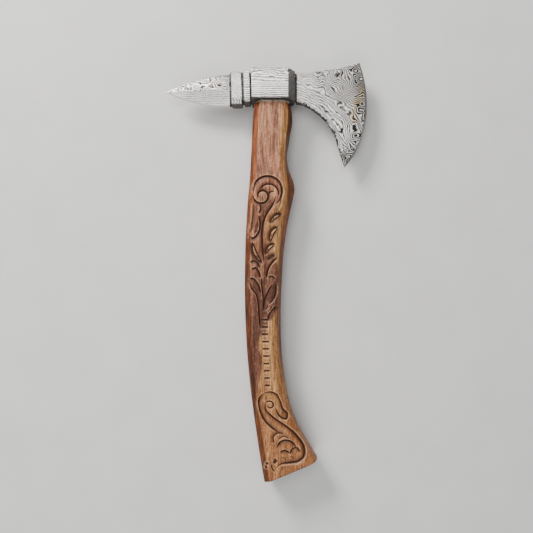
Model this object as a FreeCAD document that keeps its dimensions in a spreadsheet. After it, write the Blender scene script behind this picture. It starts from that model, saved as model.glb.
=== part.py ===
"""Spike-backed hatchet: a forged steel head wedged onto a carved hardwood handle.

Millimetres. X runs from the spike to the cutting edge, Y from the butt of the handle to the top of the
head, and Z through the thickness. The hatchet lies on the flat cheek of its eye block. The origin is on
that cheek, where the axis of the eye crosses the middle of the block's height.

Every sub-part is modelled about the middle plane of the hatchet and is then raised by half the thickness
of the eye block, so that the lower cheek comes to Z = 0.
"""

import FreeCAD, Part
import math
import os

import Sketcher

# Driving dimensions: alias, value and what it measures.
DIMENSIONS = [
    # Eye block
    ("eye_height", 30.0, "height of the eye block along the handle"),
    ("cheek_wall", 7.5, "thickness of the block's walls beside the eye, at its lower end"),
    ("back_wall", 5.5, "thickness of the block's wall behind the eye, at its lower end"),
    ("front_wall", 2.0, "from the front of the eye to the end of the flat cheek, at its lower end"),
    ("facet_reach", 7.3, "length along X of the slanted facet in front of the cheek"),
    ("facet_end_thick", 13.0, "thickness where the slanted facet ends"),
    # Eye, an eight-sided hole that widens upwards
    ("eye_wide", 29.0, "width of the eye along X at its lower end"),
    ("eye_thick", 22.0, "width of the eye along Z at its lower end"),
    ("eye_flare_wide", 1.5, "how much wider the eye is along X at its top"),
    ("eye_flare_thick", 3.0, "how much wider the eye is along Z at its top"),
    ("eye_corner", 5.0, "size of the eye's bevelled corners"),
    # Blade
    ("throat_gap", 1.4, "width of the groove between facet and blade"),
    ("throat_depth", 1.3, "depth of the grooves filed across the head"),
    ("root_step", 0.5, "how far the blade starts below the top of the block"),
    ("root_thick", 11.0, "thickness of the blade where it leaves the block"),
    ("edge_thick", 2.6, "thickness of the blade behind the cutting bevel"),
    ("edge_reach", 97.2, "from the eye's axis to the foremost point of the edge"),
    ("edge_middle", -16.4, "height of the foremost point of the edge"),
    ("edge_radius", 122.0, "radius of the upper part of the cutting edge"),
    ("toe_high", 25.5, "height of the upper corner of the edge"),
    ("heel_turn", -48.0, "height where the edge starts to curve back faster"),
    ("heel_radius", 76.0, "radius of the lower part of the cutting edge"),
    ("heel_low", -81.0, "height of the lower corner of the edge"),
    ("top_radius", 300.0, "radius of the hollow top edge"),
    ("beard_centre_x", 10.6, "centre of the arc under the blade, along X"),
    ("beard_centre_y", -72.0, "centre of the arc under the blade, along Y"),
    ("beard_radius", 58.0, "radius of the arc under the blade"),
    ("beard_end", 14.4, "angle above X where that arc ends, in degrees"),
    ("bevel_wide", 2.2, "width of the ground bevel along the cutting edge"),
    ("bevel_deep", 1.05, "how much the bevel takes off each side"),
    # Forged scallops on the top and under the blade
    ("scallop_radius", 4.0, "radius of each forged scallop"),
    ("scallop_deep", 0.7, "depth of each forged scallop"),
    ("top_scallops", 8.0, "number of scallops on the top edge"),
    ("beard_scallops", 9.0, "number of scallops under the blade"),
    # Poll rings and spike
    ("groove_wide", 1.6, "width of the grooves on both sides of the front ring"),
    ("front_ring_wide", 6.6, "width of the ring beside the block"),
    ("front_ring_high", 31.4, "height of the ring beside the block"),
    ("front_ring_thick", 20.0, "thickness of the ring beside the block"),
    ("front_ring_drop", 1.1, "how far the middle of that ring lies below the eye's"),
    ("back_ring_wide", 11.0, "width of the ring beside the spike"),
    ("back_ring_high", 33.0, "height of the ring beside the spike"),
    ("back_ring_thick", 18.0, "thickness of the ring beside the spike"),
    ("back_ring_drop", 2.5, "how far the middle of that ring lies below the eye's"),
    ("ring_corner", 2.0, "size of the rings' bevelled corners"),
    ("spike_long", 66.0, "length of the spike"),
    ("spike_high", 32.6, "height of the spike at its base"),
    ("spike_thick", 17.0, "thickness of the spike over its ridge at the base"),
    ("spike_tip_thick", 1.6, "thickness of the spike over its ridge at the tip"),
    ("spike_edge_thick", 0.7, "thickness left on the spike's two edges"),
    ("spike_drop", 2.8, "how far the middle of the spike's base lies below the eye's"),
    ("spike_tip_drop", 4.7, "how far the tip lies below the middle of the eye"),
    # Handle
    ("back_ledge", 2.7, "how far the handle's shoulder stands out behind the eye"),
    ("front_ledge", 4.3, "how far the handle's shoulder stands out in front of the eye"),
    ("side_ledge", 2.0, "how far the handle's shoulder stands out beside the eye"),
    ("handle_long", 381.5, "length of the handle below its shoulder"),
    ("handle_corner", 6.0, "size of the handle's bevelled edges"),
    ("butt_rise", 22.4, "how much higher the front corner of the butt is than the back one"),
    ("bedding_high", 2.5, "gap that the bedding fills between eye block and shoulder"),
    ("bedding_inset", 0.8, "how far the bedding stays inside the handle's shoulder"),
    ("tenon_clearance", 0.05, "gap between tenon and eye, on each side"),
    # Carved ladder of chisel cuts
    ("ladder_start", 0.57, "where the ladder starts, as a share of the handle's length"),
    ("ladder_x", -5.8, "middle of the ladder along X"),
    ("ladder_pitch", 7.3, "distance from one cut of the ladder to the next"),
    ("ladder_cuts", 10.0, "number of cuts in the ladder"),
    ("cut_wide", 5.2, "width of one cut across the handle"),
    ("cut_high", 1.2, "width of one cut along the handle"),
    ("cut_deep", 1.2, "depth of one cut"),
    # Wedges
    ("wedge_long", 22.0, "length of the wooden wedge"),
    ("wedge_thick", 5.0, "thickness of the wooden wedge at its top"),
    ("wedge_tip_thick", 1.2, "thickness of the wooden wedge at its foot"),
    ("steel_wedge_long", 13.0, "length of a steel wedge"),
    ("steel_wedge_thick", 2.8, "thickness of a steel wedge at its top"),
    ("steel_wedge_tip_thick", 0.6, "thickness of a steel wedge at its foot"),
    ("steel_wedge_wide", 15.0, "width of a steel wedge across the wooden one"),
    ("steel_wedge_spacing", 15.0, "distance between the two steel wedges"),
]

# Stations of the handle below its shoulder: name, share of the handle's length, back and front edge
# along X, and thickness. Each becomes four cells of the sheet, such as waist_at and waist_back.
STATIONS = [
    ("neck", 0.04, -18.8, 21.0, 27.5),
    ("waist", 0.148, -21.0, 15.6, 27.0),
    ("swell", 0.227, -23.0, 23.3, 28.0),
    ("palm", 0.321, -25.4, 16.2, 27.5),
    ("grip", 0.457, -27.0, 10.7, 26.5),
    ("lower", 0.578, -26.1, 9.2, 26.5),
    ("flare", 0.722, -22.0, 13.8, 27.0),
    ("fawn", 0.837, -16.8, 25.2, 28.5),
    ("foot", 0.941, -10.9, 47.2, 30.0),
    ("butt", 1.0, -7.0, 62.5, 30.5),
]

SPIKE_SHARES = (0.0, 0.2, 0.4, 0.58, 0.74, 0.88, 0.985)

# Places worked out from the driving dimensions.
BLOCK_HALF = "(dims.eye_thick / 2 + dims.cheek_wall)"
BLOCK_BACK = "(-dims.eye_wide / 2 - dims.back_wall)"
CHEEK_END_X = "(dims.eye_wide / 2 + dims.front_wall)"
EYE_TOP = "dims.eye_height / 2"
EYE_FOOT = "-dims.eye_height / 2"
SHOULDER_Y = "(-dims.eye_height / 2 - dims.bedding_high)"
BUTT_Y = f"({SHOULDER_Y} - dims.handle_long)"
FACET_END_X = f"({CHEEK_END_X} + dims.facet_reach)"
ROOT_X = f"({FACET_END_X} + dims.throat_gap)"
ROOT_HIGH = "(dims.eye_height / 2 - dims.root_step)"
FRONT_RING_X = f"({BLOCK_BACK} - dims.groove_wide)"
BACK_RING_X = f"({FRONT_RING_X} - dims.front_ring_wide - dims.groove_wide)"
SPIKE_X = f"({BACK_RING_X} - dims.back_ring_wide - dims.groove_wide)"
EDGE_X = "(dims.edge_reach - dims.edge_radius)"
TURN_X = f"({EDGE_X} + sqrt(dims.edge_radius ^ 2 - (dims.heel_turn - dims.edge_middle) ^ 2))"
HEEL_SHARE = "(dims.heel_radius / dims.edge_radius)"
HEEL_CENTRE_X = f"({TURN_X} + ({EDGE_X} - {TURN_X}) * {HEEL_SHARE})"
HEEL_CENTRE_Y = f"(dims.heel_turn + (dims.edge_middle - dims.heel_turn) * {HEEL_SHARE})"
TOE_X = f"({EDGE_X} + sqrt(dims.edge_radius ^ 2 - (dims.toe_high - dims.edge_middle) ^ 2))"
HEEL_X = f"({HEEL_CENTRE_X} + sqrt(dims.heel_radius ^ 2 - (dims.heel_low - {HEEL_CENTRE_Y}) ^ 2))"
BEARD_END_X = "(dims.beard_centre_x + dims.beard_radius * cos(dims.beard_end * 1 deg))"
BEARD_END_Y = "(dims.beard_centre_y + dims.beard_radius * sin(dims.beard_end * 1 deg))"
ROOT_LOW = (
    "(dims.beard_centre_y + sqrt(dims.beard_radius ^ 2"
    f" - ({ROOT_X} - dims.beard_centre_x) ^ 2))"
)
TOP_RISE = f"(dims.toe_high - {ROOT_HIGH})"
TOP_CHORD = f"sqrt(({TOE_X} - {ROOT_X}) ^ 2 + {TOP_RISE} ^ 2)"
TOP_REACH = f"sqrt(dims.top_radius ^ 2 - {TOP_CHORD} ^ 2 / 4)"
TOP_CENTRE_X = f"(({TOE_X} + {ROOT_X}) / 2 - {TOP_RISE} / {TOP_CHORD} * {TOP_REACH})"
TOP_CENTRE_Y = f"((dims.toe_high + {ROOT_HIGH}) / 2 + ({TOE_X} - {ROOT_X}) / {TOP_CHORD} * {TOP_REACH})"


def make_sheet(doc):
    """The spreadsheet of driving dimensions, one alias per row."""
    sheet = doc.addObject("Spreadsheet::Sheet", "dims")
    rows = list(DIMENSIONS)
    for name, at, back, front, thick in STATIONS:
        rows.append((f"{name}_at", at, f"share of the handle's length at its {name}"))
        rows.append((f"{name}_back", back, f"back edge of the handle at its {name}"))
        rows.append((f"{name}_front", front, f"front edge of the handle at its {name}"))
        rows.append((f"{name}_thick", thick, f"thickness of the handle at its {name}"))
    for row, (alias, size, meaning) in enumerate(rows, start=1):
        sheet.set(f"A{row}", meaning)
        sheet.set(f"B{row}", str(size))
        sheet.setAlias(f"B{row}", alias)
    doc.recompute()


def number(holder, expression):
    """The present value of an expression, as a plain number."""
    found = holder.evalExpression(str(expression))
    return float(getattr(found, "Value", found))


def add_body(doc, label):
    """A body for one sub-part, raised so that the hatchet's lower cheek lies at Z = 0."""
    body = doc.addObject("PartDesign::Body", label)
    body.Label = label
    body.setExpression("Placement.Base.z", BLOCK_HALF)
    return body


def add_sketch(body, name, plane, offset="0", origin=("0", "0")):
    """A sketch on one of the body's own planes, moved along its normal and within it."""
    sketch = body.newObject("Sketcher::SketchObject", name)
    planes = [f for f in body.Origin.OriginFeatures if f.Role == plane]
    sketch.AttachmentSupport = [(planes[0], "")]
    sketch.MapMode = "FlatFace"
    sketch.setExpression("AttachmentOffset.Base.x", origin[0])
    sketch.setExpression("AttachmentOffset.Base.y", origin[1])
    sketch.setExpression("AttachmentOffset.Base.z", offset)
    return sketch


def arc_through(start, end, radius, side):
    """An arc from start to end. side is 1 if its centre lies left of that direction, else -1."""
    chord = end - start
    rise = math.sqrt(max(radius**2 - chord.Length**2 / 4, 0))
    left = FreeCAD.Vector(-chord.y, chord.x, 0).normalize()
    middle = (start + end) / 2 + left * side * (rise - radius)
    return Part.Arc(start, middle, end)


def draw_outline(sketch, corners, arcs=None):
    """A closed outline through corners, each a pair of expressions. arcs gives the expression for the
    radius, and the side of the centre, of each stretch that is round and not straight."""
    arcs = arcs or {}
    first = sketch.GeometryCount
    places = [FreeCAD.Vector(number(sketch, x), number(sketch, y), 0) for x, y in corners]
    count = len(corners)
    for i, start in enumerate(places):
        end = places[(i + 1) % count]
        if i in arcs:
            radius, side = arcs[i]
            sketch.addGeometry(arc_through(start, end, number(sketch, radius), side), False)
        else:
            sketch.addGeometry(Part.LineSegment(start, end), False)
    ends = [start_and_end(sketch, first + i, places[i]) for i in range(count)]
    for i in range(count):
        following = (i + 1) % count
        here, there = ends[i][1], ends[following][0]
        sketch.addConstraint(Sketcher.Constraint("Coincident", first + i, here, first + following, there))
    for i, (x, y) in enumerate(corners):
        for kind, expression in (("DistanceX", x), ("DistanceY", y)):
            size = number(sketch, expression)
            added = sketch.addConstraint(Sketcher.Constraint(kind, -1, 1, first + i, ends[i][0], size))
            name = f"{kind}_{first + i}"
            sketch.renameConstraint(added, name)
            sketch.setExpression(f"Constraints.{name}", str(expression))
    for i, (radius, _) in arcs.items():
        added = sketch.addConstraint(Sketcher.Constraint("Radius", first + i, number(sketch, radius)))
        sketch.renameConstraint(added, f"Radius_{first + i}")
        sketch.setExpression(f"Constraints.Radius_{first + i}", radius)
    return sketch


def start_and_end(sketch, index, start):
    """Which ends of a piece of geometry are its start and its end: an arc always runs anticlockwise."""
    if sketch.getPoint(index, 1).distanceToPoint(start) < 1e-6:
        return 1, 2
    return 2, 1


def draw_circle(sketch, x, y, radius):
    """A circle whose centre and radius are expressions."""
    centre = FreeCAD.Vector(number(sketch, x), number(sketch, y), 0)
    index = sketch.addGeometry(Part.Circle(centre, FreeCAD.Vector(0, 0, 1), number(sketch, radius)), False)
    for kind, expression in (("DistanceX", x), ("DistanceY", y)):
        size = number(sketch, expression)
        added = sketch.addConstraint(Sketcher.Constraint(kind, -1, 1, index, 3, size))
        sketch.renameConstraint(added, kind)
        sketch.setExpression(f"Constraints.{kind}", str(expression))
    added = sketch.addConstraint(Sketcher.Constraint("Radius", index, number(sketch, radius)))
    sketch.renameConstraint(added, "Radius")
    sketch.setExpression("Constraints.Radius", radius)


def octagon(low_x, high_x, low_y, high_y, corner):
    """The corners of a box with bevelled corners, as expressions."""
    return [
        (f"{low_x} + {corner}", low_y),
        (f"{high_x} - {corner}", low_y),
        (high_x, f"{low_y} + {corner}"),
        (high_x, f"{high_y} - {corner}"),
        (f"{high_x} - {corner}", high_y),
        (f"{low_x} + {corner}", high_y),
        (low_x, f"{high_y} - {corner}"),
        (low_x, f"{low_y} + {corner}"),
    ]


def add_prism(body, kind, sketch, length, middle=True, reverse=False):
    """A Pad or Pocket of a sketch, over a length that is an expression."""
    feature = body.newObject(f"PartDesign::{kind}", f"{sketch.Name}_{kind.lower()}")
    feature.Profile = sketch
    feature.setExpression("Length", length)
    feature.Midplane = middle
    feature.Reversed = reverse
    feature.Document.recompute()
    return feature


def add_loft(body, kind, name, sketches):
    """An AdditiveLoft or SubtractiveLoft through sketches."""
    loft = body.newObject(f"PartDesign::{kind}", name)
    loft.Profile = sketches[0]
    loft.Sections = sketches[1:]
    loft.Document.recompute()
    return loft


# ---------------------------------------------------------------- head


def add_blade(body):
    """The blade: a flat blank with tapered cheeks, a ground bevel and forged scallops."""
    corners = [
        (ROOT_X, ROOT_HIGH),
        (ROOT_X, ROOT_LOW),
        (BEARD_END_X, BEARD_END_Y),
        (HEEL_X, "dims.heel_low"),
        (TURN_X, "dims.heel_turn"),
        (TOE_X, "dims.toe_high"),
    ]
    arcs = {
        1: ("dims.beard_radius", -1),
        3: ("dims.heel_radius", 1),
        4: ("dims.edge_radius", 1),
        5: ("dims.top_radius", -1),
    }
    outline = draw_outline(add_sketch(body, "blade_outline", "XY_Plane"), corners, arcs)
    add_prism(body, "Pad", outline, "dims.root_thick")
    taper_cheeks(body)
    grind_bevel(body)
    centres = {
        "top": ((TOP_CENTRE_X, TOP_CENTRE_Y), "dims.top_radius", "dims.top_scallops"),
        "beard": (("dims.beard_centre_x", "dims.beard_centre_y"), "dims.beard_radius", "dims.beard_scallops"),
    }
    ends = {
        "top": (
            f"atan2({ROOT_HIGH} - {TOP_CENTRE_Y}; {ROOT_X} - {TOP_CENTRE_X}) / 1 deg",
            f"atan2(dims.toe_high - {TOP_CENTRE_Y}; {TOE_X} - {TOP_CENTRE_X}) / 1 deg",
        ),
        "beard": (
            "dims.beard_end",
            f"atan2({ROOT_LOW} - dims.beard_centre_y; {ROOT_X} - dims.beard_centre_x) / 1 deg",
        ),
    }
    for place, (centre, radius, count) in centres.items():
        add_scallops(body, place, centre, radius, count, ends[place])


def taper_cheeks(body):
    """Turns both cheeks thin towards the edge, in rings about the centre of the cutting edge."""
    sketch = add_sketch(body, "cheek_taper", "XZ_Plane", "-dims.edge_middle", (EDGE_X, "0"))
    inner = f"{ROOT_X} - {EDGE_X}"
    outer = "dims.edge_radius"
    for side in ("", "-"):
        corners = [
            (inner, f"{side}dims.root_thick / 2"),
            (outer, f"{side}dims.edge_thick / 2"),
            (f"{outer} * 1.1", f"{side}dims.edge_thick / 2"),
            (f"{outer} * 1.1", f"{side}dims.root_thick"),
            (inner, f"{side}dims.root_thick"),
        ]
        draw_outline(sketch, corners)
    groove = body.newObject("PartDesign::Groove", "cheek_taper_groove")
    groove.Profile = sketch
    groove.ReferenceAxis = (sketch, ["V_Axis"])
    groove.Angle = 360
    body.Document.recompute()


def grind_bevel(body):
    """The bevel on both sides of the cutting edge, wherever a cheek meets one of its two round walls."""
    radii = [number(body, "dims.edge_radius"), number(body, "dims.heel_radius")]
    tapered = body.Tip
    names = []
    for index, edge in enumerate(tapered.Shape.Edges, start=1):
        surfaces = [wall.Surface for wall in tapered.Shape.ancestorsOfType(edge, Part.Face)]
        cheeks = [s for s in surfaces if isinstance(s, Part.Cone)]
        rims = [s for s in surfaces if isinstance(s, Part.Cylinder)]
        if cheeks and any(abs(rim.Radius - radius) < 1e-6 for rim in rims for radius in radii):
            names.append(f"Edge{index}")
    bevel = body.newObject("PartDesign::Chamfer", "edge_bevel")
    bevel.Base = (tapered, names)
    bevel.ChamferType = "Two distances"
    bevel.setExpression("Size", "dims.bevel_wide")
    bevel.setExpression("Size2", "dims.bevel_deep")
    body.Document.recompute()


def add_scallops(body, place, centre, radius, count, ends):
    """A row of shallow round bites along a round rim, patterned about the rim's own centre."""
    first, last = ends
    step = f"({last} - {first}) / {count}"
    angle = f"({first} + {step} / 2) * 1 deg"
    outside = "dims.scallop_radius - dims.scallop_deep"
    reach = f"({radius} - ({outside}))"
    sketch = add_sketch(body, f"{place}_scallop", "XY_Plane", origin=centre)
    draw_circle(sketch, f"{reach} * cos({angle})", f"{reach} * sin({angle})", "dims.scallop_radius")
    pocket = add_prism(body, "Pocket", sketch, "dims.root_thick * 2")
    pattern = body.newObject("PartDesign::PolarPattern", f"{place}_scallop_row")
    pattern.Originals = [pocket]
    pattern.Axis = (sketch, ["N_Axis"])
    pattern.setExpression("Angle", f"({last} - {first}) * (1 - 1 / {count})")
    pattern.setExpression("Occurrences", count)
    body.Tip = pattern
    body.Document.recompute()


def add_block(body):
    """The eye block with its slanted facets, and the throat that joins it to the blade."""
    corners = [
        (BLOCK_BACK, f"-{BLOCK_HALF}"),
        (CHEEK_END_X, f"-{BLOCK_HALF}"),
        (FACET_END_X, "-dims.facet_end_thick / 2"),
        (FACET_END_X, "dims.facet_end_thick / 2"),
        (CHEEK_END_X, BLOCK_HALF),
        (BLOCK_BACK, BLOCK_HALF),
    ]
    sketch = draw_outline(add_sketch(body, "block_section", "XZ_Plane"), corners)
    add_prism(body, "Pad", sketch, "dims.eye_height")
    depth = "dims.throat_depth"
    throat = octagon(
        f"{EYE_FOOT} + {depth}",
        f"{EYE_TOP} - {depth}",
        f"-dims.root_thick / 2 + {depth}",
        f"dims.root_thick / 2 - {depth}",
        depth,
    )
    sketch = draw_outline(add_sketch(body, "throat_section", "YZ_Plane", CHEEK_END_X), throat)
    add_prism(body, "Pad", sketch, f"{ROOT_X} - {CHEEK_END_X} + {depth}", middle=False)


def ring_section(drop, high, thick, inset="0"):
    """The section of one poll ring, or of the core inside it, across the hatchet."""
    return octagon(
        f"-{drop} - {high} / 2 + {inset}",
        f"-{drop} + {high} / 2 - {inset}",
        f"-{thick} / 2 + {inset}",
        f"{thick} / 2 - {inset}",
        "dims.ring_corner",
    )


def add_poll(body):
    """The core behind the block and the two rings that stand out between its filed grooves."""
    front = ("dims.front_ring_drop", "dims.front_ring_high", "dims.front_ring_thick")
    back = ("dims.back_ring_drop", "dims.back_ring_high", "dims.back_ring_thick")
    core_start = f"{FRONT_RING_X} + 2 * dims.groove_wide"
    core = [
        ("poll_core", core_start, f"{core_start} - {BACK_RING_X} + 1", (*front, "dims.throat_depth")),
        ("back_core", BACK_RING_X, f"{BACK_RING_X} - {SPIKE_X}", (*back, "dims.throat_depth")),
        ("front_ring", FRONT_RING_X, "dims.front_ring_wide", front),
        ("back_ring", BACK_RING_X, "dims.back_ring_wide", back),
    ]
    for name, start, length, section in core:
        sketch = draw_outline(add_sketch(body, name, "YZ_Plane", start), ring_section(*section))
        add_prism(body, "Pad", sketch, length, middle=False, reverse=True)


def add_spike(body):
    """The spear-point spike: six-sided sections that shrink along a curved belly to the tip."""
    sketches = []
    for number_along, share in enumerate(SPIKE_SHARES):
        half_high = f"dims.spike_high / 2 * (1 - {share} ^ 2)"
        half_thick = f"(dims.spike_thick + (dims.spike_tip_thick - dims.spike_thick) * {share}) / 2"
        middle = f"-(dims.spike_drop + (dims.spike_tip_drop - dims.spike_drop) * {share})"
        edge = f"dims.spike_edge_thick / 2 * (1 - {share} / 2)"
        corners = [
            (f"{middle} - {half_high}", f"-{edge}"),
            (middle, f"-({half_thick})"),
            (f"{middle} + {half_high}", f"-{edge}"),
            (f"{middle} + {half_high}", edge),
            (middle, half_thick),
            (f"{middle} - {half_high}", edge),
        ]
        place = f"{SPIKE_X} - dims.spike_long * {share}"
        sketch = add_sketch(body, f"spike_section_{number_along}", "YZ_Plane", place)
        sketches.append(draw_outline(sketch, corners))
    add_loft(body, "AdditiveLoft", "spike", sketches)


def eye_section(flare, inset="0"):
    """The eye's opening across the handle: flare is 0 at its foot and 1 at its top."""
    half_wide = f"(dims.eye_wide + dims.eye_flare_wide * {flare}) / 2 - {inset}"
    half_thick = f"(dims.eye_thick + dims.eye_flare_thick * {flare}) / 2 - {inset}"
    return octagon(
        f"-({half_wide})", f"({half_wide})", f"-({half_thick})", f"({half_thick})", "dims.eye_corner"
    )


def cut_eye(body):
    """The tapered eye through the block."""
    sketches = []
    for name, flare, height in (("eye_foot", 0, EYE_FOOT), ("eye_top", 1, EYE_TOP)):
        sketch = add_sketch(body, name, "XZ_Plane", f"-({height})")
        sketches.append(draw_outline(sketch, eye_section(flare)))
    add_loft(body, "SubtractiveLoft", "eye", sketches)


def make_head(doc):
    """The steel head, forged in one piece: blade, eye block, poll rings and spike."""
    body = add_body(doc, "axe_head")
    add_blade(body)
    add_block(body)
    add_poll(body)
    add_spike(body)
    cut_eye(body)
    return body


# ---------------------------------------------------------------- handle and wedges


def station_section(name):
    """The eight-sided section of the handle at one of its stations."""
    half = f"dims.{name}_thick / 2"
    return octagon(f"dims.{name}_back", f"dims.{name}_front", f"-{half}", half, "dims.handle_corner")


def shoulder_section(inset="0"):
    """The eight-sided section of the handle's shoulder, which stands out all round the eye."""
    back = f"(-dims.eye_wide / 2 - dims.back_ledge + {inset})"
    front = f"(dims.eye_wide / 2 + dims.front_ledge - {inset})"
    half = f"(dims.eye_thick / 2 + dims.side_ledge - {inset})"
    return octagon(back, front, f"-{half}", half, "dims.handle_corner")


def cut_butt(body):
    """Cuts the foot of the handle along a slant that rises towards the front."""
    back = "dims.butt_back"
    front = "dims.foot_front"
    slope = f"dims.butt_rise / ({front} - {back})"
    past = "dims.handle_long / 4"
    corners = [
        (f"{back} - {past}", f"{BUTT_Y} - {past} * {slope}"),
        (f"{back} - {past}", f"{BUTT_Y} - {past}"),
        (f"{front} + {past}", f"{BUTT_Y} - {past}"),
        (f"{front} + {past}", f"{BUTT_Y} + dims.butt_rise + {past} * {slope}"),
    ]
    sketch = draw_outline(add_sketch(body, "butt_cut", "XY_Plane"), corners)
    add_prism(body, "Pocket", sketch, "dims.butt_thick * 2")


def add_tenon(body):
    """The tenon that fills the eye, with the neck that passes through the bedding."""
    gap = "dims.tenon_clearance"
    neck = add_sketch(body, "tenon_neck", "XZ_Plane", f"-({EYE_FOOT})")
    draw_outline(neck, eye_section(0, gap))
    add_prism(body, "Pad", neck, "dims.bedding_high * 2", middle=False)
    sketches = []
    for name, flare, height in (("tenon_foot", 0, EYE_FOOT), ("tenon_top", 1, EYE_TOP)):
        sketch = add_sketch(body, name, "XZ_Plane", f"-({height})")
        sketches.append(draw_outline(sketch, eye_section(flare, gap)))
    add_loft(body, "AdditiveLoft", "tenon", sketches)


def wedge_profile(body, name):
    """The side of the wooden wedge, and of the kerf that it fills."""
    corners = [
        (EYE_TOP, "-dims.wedge_thick / 2"),
        (EYE_TOP, "dims.wedge_thick / 2"),
        (f"{EYE_TOP} - dims.wedge_long", "dims.wedge_tip_thick / 2"),
        (f"{EYE_TOP} - dims.wedge_long", "-dims.wedge_tip_thick / 2"),
    ]
    return draw_outline(add_sketch(body, name, "YZ_Plane"), corners)


def steel_profile(body, name):
    """The sides of the two steel wedges, and of the splits that they make."""
    sketch = add_sketch(body, name, "XY_Plane")
    for side in ("-", ""):
        middle = f"{side}dims.steel_wedge_spacing / 2"
        top = "dims.steel_wedge_thick / 2"
        tip = "dims.steel_wedge_tip_thick / 2"
        corners = [
            (f"{middle} - {top}", EYE_TOP),
            (f"{middle} - {tip}", f"{EYE_TOP} - dims.steel_wedge_long"),
            (f"{middle} + {tip}", f"{EYE_TOP} - dims.steel_wedge_long"),
            (f"{middle} + {top}", EYE_TOP),
        ]
        draw_outline(sketch, corners)
    return sketch


def cut_ladder(body):
    """The row of chisel cuts down the front of the grip, and the same row on its other side."""
    first = f"({SHOULDER_Y} - dims.handle_long * dims.ladder_start)"
    floor = "dims.lower_thick / 2 - dims.cut_deep"
    corners = [
        ("dims.ladder_x - dims.cut_wide / 2", f"{first} - dims.cut_high / 2"),
        ("dims.ladder_x + dims.cut_wide / 2", f"{first} - dims.cut_high / 2"),
        ("dims.ladder_x + dims.cut_wide / 2", f"{first} + dims.cut_high / 2"),
        ("dims.ladder_x - dims.cut_wide / 2", f"{first} + dims.cut_high / 2"),
    ]
    for side, name in (("", "front"), ("-", "rear")):
        sketch = draw_outline(add_sketch(body, f"{name}_cut", "XY_Plane", f"{side}({floor})"), corners)
        away = side == ""
        pocket = add_prism(body, "Pocket", sketch, "dims.cut_deep * 3", middle=False, reverse=away)
        row = body.newObject("PartDesign::LinearPattern", f"{name}_ladder")
        row.Originals = [pocket]
        row.Direction = (sketch, ["V_Axis"])
        row.Reversed = True
        row.setExpression("Length", "dims.ladder_pitch * (dims.ladder_cuts - 1)")
        row.setExpression("Occurrences", "dims.ladder_cuts")
        body.Tip = row
        body.Document.recompute()


def make_handle(doc):
    """The wooden handle with its tenon, the kerf for the wedges and the carved ladder."""
    body = add_body(doc, "handle")
    shoulder = add_sketch(body, "shoulder_section", "XZ_Plane", f"-{SHOULDER_Y}")
    sketches = [draw_outline(shoulder, shoulder_section())]
    for name, *_ in STATIONS:
        height = f"-({SHOULDER_Y} - dims.handle_long * dims.{name}_at)"
        sketch = add_sketch(body, f"{name}_section", "XZ_Plane", height)
        sketches.append(draw_outline(sketch, station_section(name)))
    add_loft(body, "AdditiveLoft", "shaft", sketches)
    cut_butt(body)
    add_tenon(body)
    add_prism(body, "Pocket", wedge_profile(body, "kerf"), "dims.eye_wide * 2")
    add_prism(body, "Pocket", steel_profile(body, "splits"), "dims.steel_wedge_wide")
    cut_ladder(body)
    return body


def make_eye_wedge(doc):
    """The wooden wedge that spreads the tenon, split by the two steel ones."""
    body = add_body(doc, "eye_wedge")
    width = "dims.eye_wide - 2 * dims.tenon_clearance"
    add_prism(body, "Pad", wedge_profile(body, "wedge_side"), width)
    add_prism(body, "Pocket", steel_profile(body, "wedge_splits"), "dims.steel_wedge_wide")
    return body


def make_steel_wedges(doc):
    """The two steel wedges driven across the wooden one."""
    profile = {}
    for side, name in (("-", "back"), ("", "front")):
        wedge = doc.addObject("Part::Wedge", f"{name}_steel_wedge")
        profile[name] = wedge
        for prop, expression in (
            ("Xmin", "-dims.steel_wedge_tip_thick / 2"),
            ("Xmax", "dims.steel_wedge_tip_thick / 2"),
            ("Zmin", "-dims.steel_wedge_wide / 2"),
            ("Zmax", "dims.steel_wedge_wide / 2"),
            ("Ymin", f"{EYE_TOP} - dims.steel_wedge_long"),
            ("Ymax", EYE_TOP),
            ("X2min", "-dims.steel_wedge_thick / 2"),
            ("X2max", "dims.steel_wedge_thick / 2"),
            ("Z2min", "-dims.steel_wedge_wide / 2"),
            ("Z2max", "dims.steel_wedge_wide / 2"),
        ):
            wedge.setExpression(prop, expression)
        wedge.setExpression("Placement.Base.x", f"{side}dims.steel_wedge_spacing / 2")
    pair = doc.addObject("Part::Compound", "steel_wedges")
    pair.Links = list(profile.values())
    pair.Label = "steel_wedges"
    pair.setExpression("Placement.Base.z", BLOCK_HALF)
    return pair


def make_bedding(doc):
    """The bead of bedding resin round the tenon, between the eye block and the handle's shoulder."""
    body = add_body(doc, "eye_bedding")
    sketch = add_sketch(body, "bedding_section", "XZ_Plane", f"-({EYE_FOOT})")
    draw_outline(sketch, shoulder_section("dims.bedding_inset"))
    draw_outline(sketch, eye_section(0))
    add_prism(body, "Pad", sketch, "dims.bedding_high", middle=False)
    return body


def check(doc, subparts):
    """Stops the build if any object failed or any sub-part is not whole."""
    for item in doc.Objects:
        if {"Invalid", "Error"} & set(item.State):
            raise RuntimeError(f"{item.Label} failed: {item.State}")
    for part in subparts:
        if part.Shape.isNull() or not part.Shape.isValid() or not part.Shape.Solids:
            raise RuntimeError(f"{part.Label} has no valid shape")


def main():
    doc = FreeCAD.newDocument("hatchet")
    make_sheet(doc)
    makers = (make_head, make_handle, make_eye_wedge, make_steel_wedges, make_bedding)
    subparts = [maker(doc) for maker in makers]
    doc.recompute()
    check(doc, subparts)
    os.makedirs("parts", exist_ok=True)
    for part in subparts:
        part.Shape.exportStep(os.path.join("parts", f"{part.Label}.step"))
        print(part.Label, len(part.Shape.Solids), round(part.Shape.Volume), part.Shape.BoundBox)


main()
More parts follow.
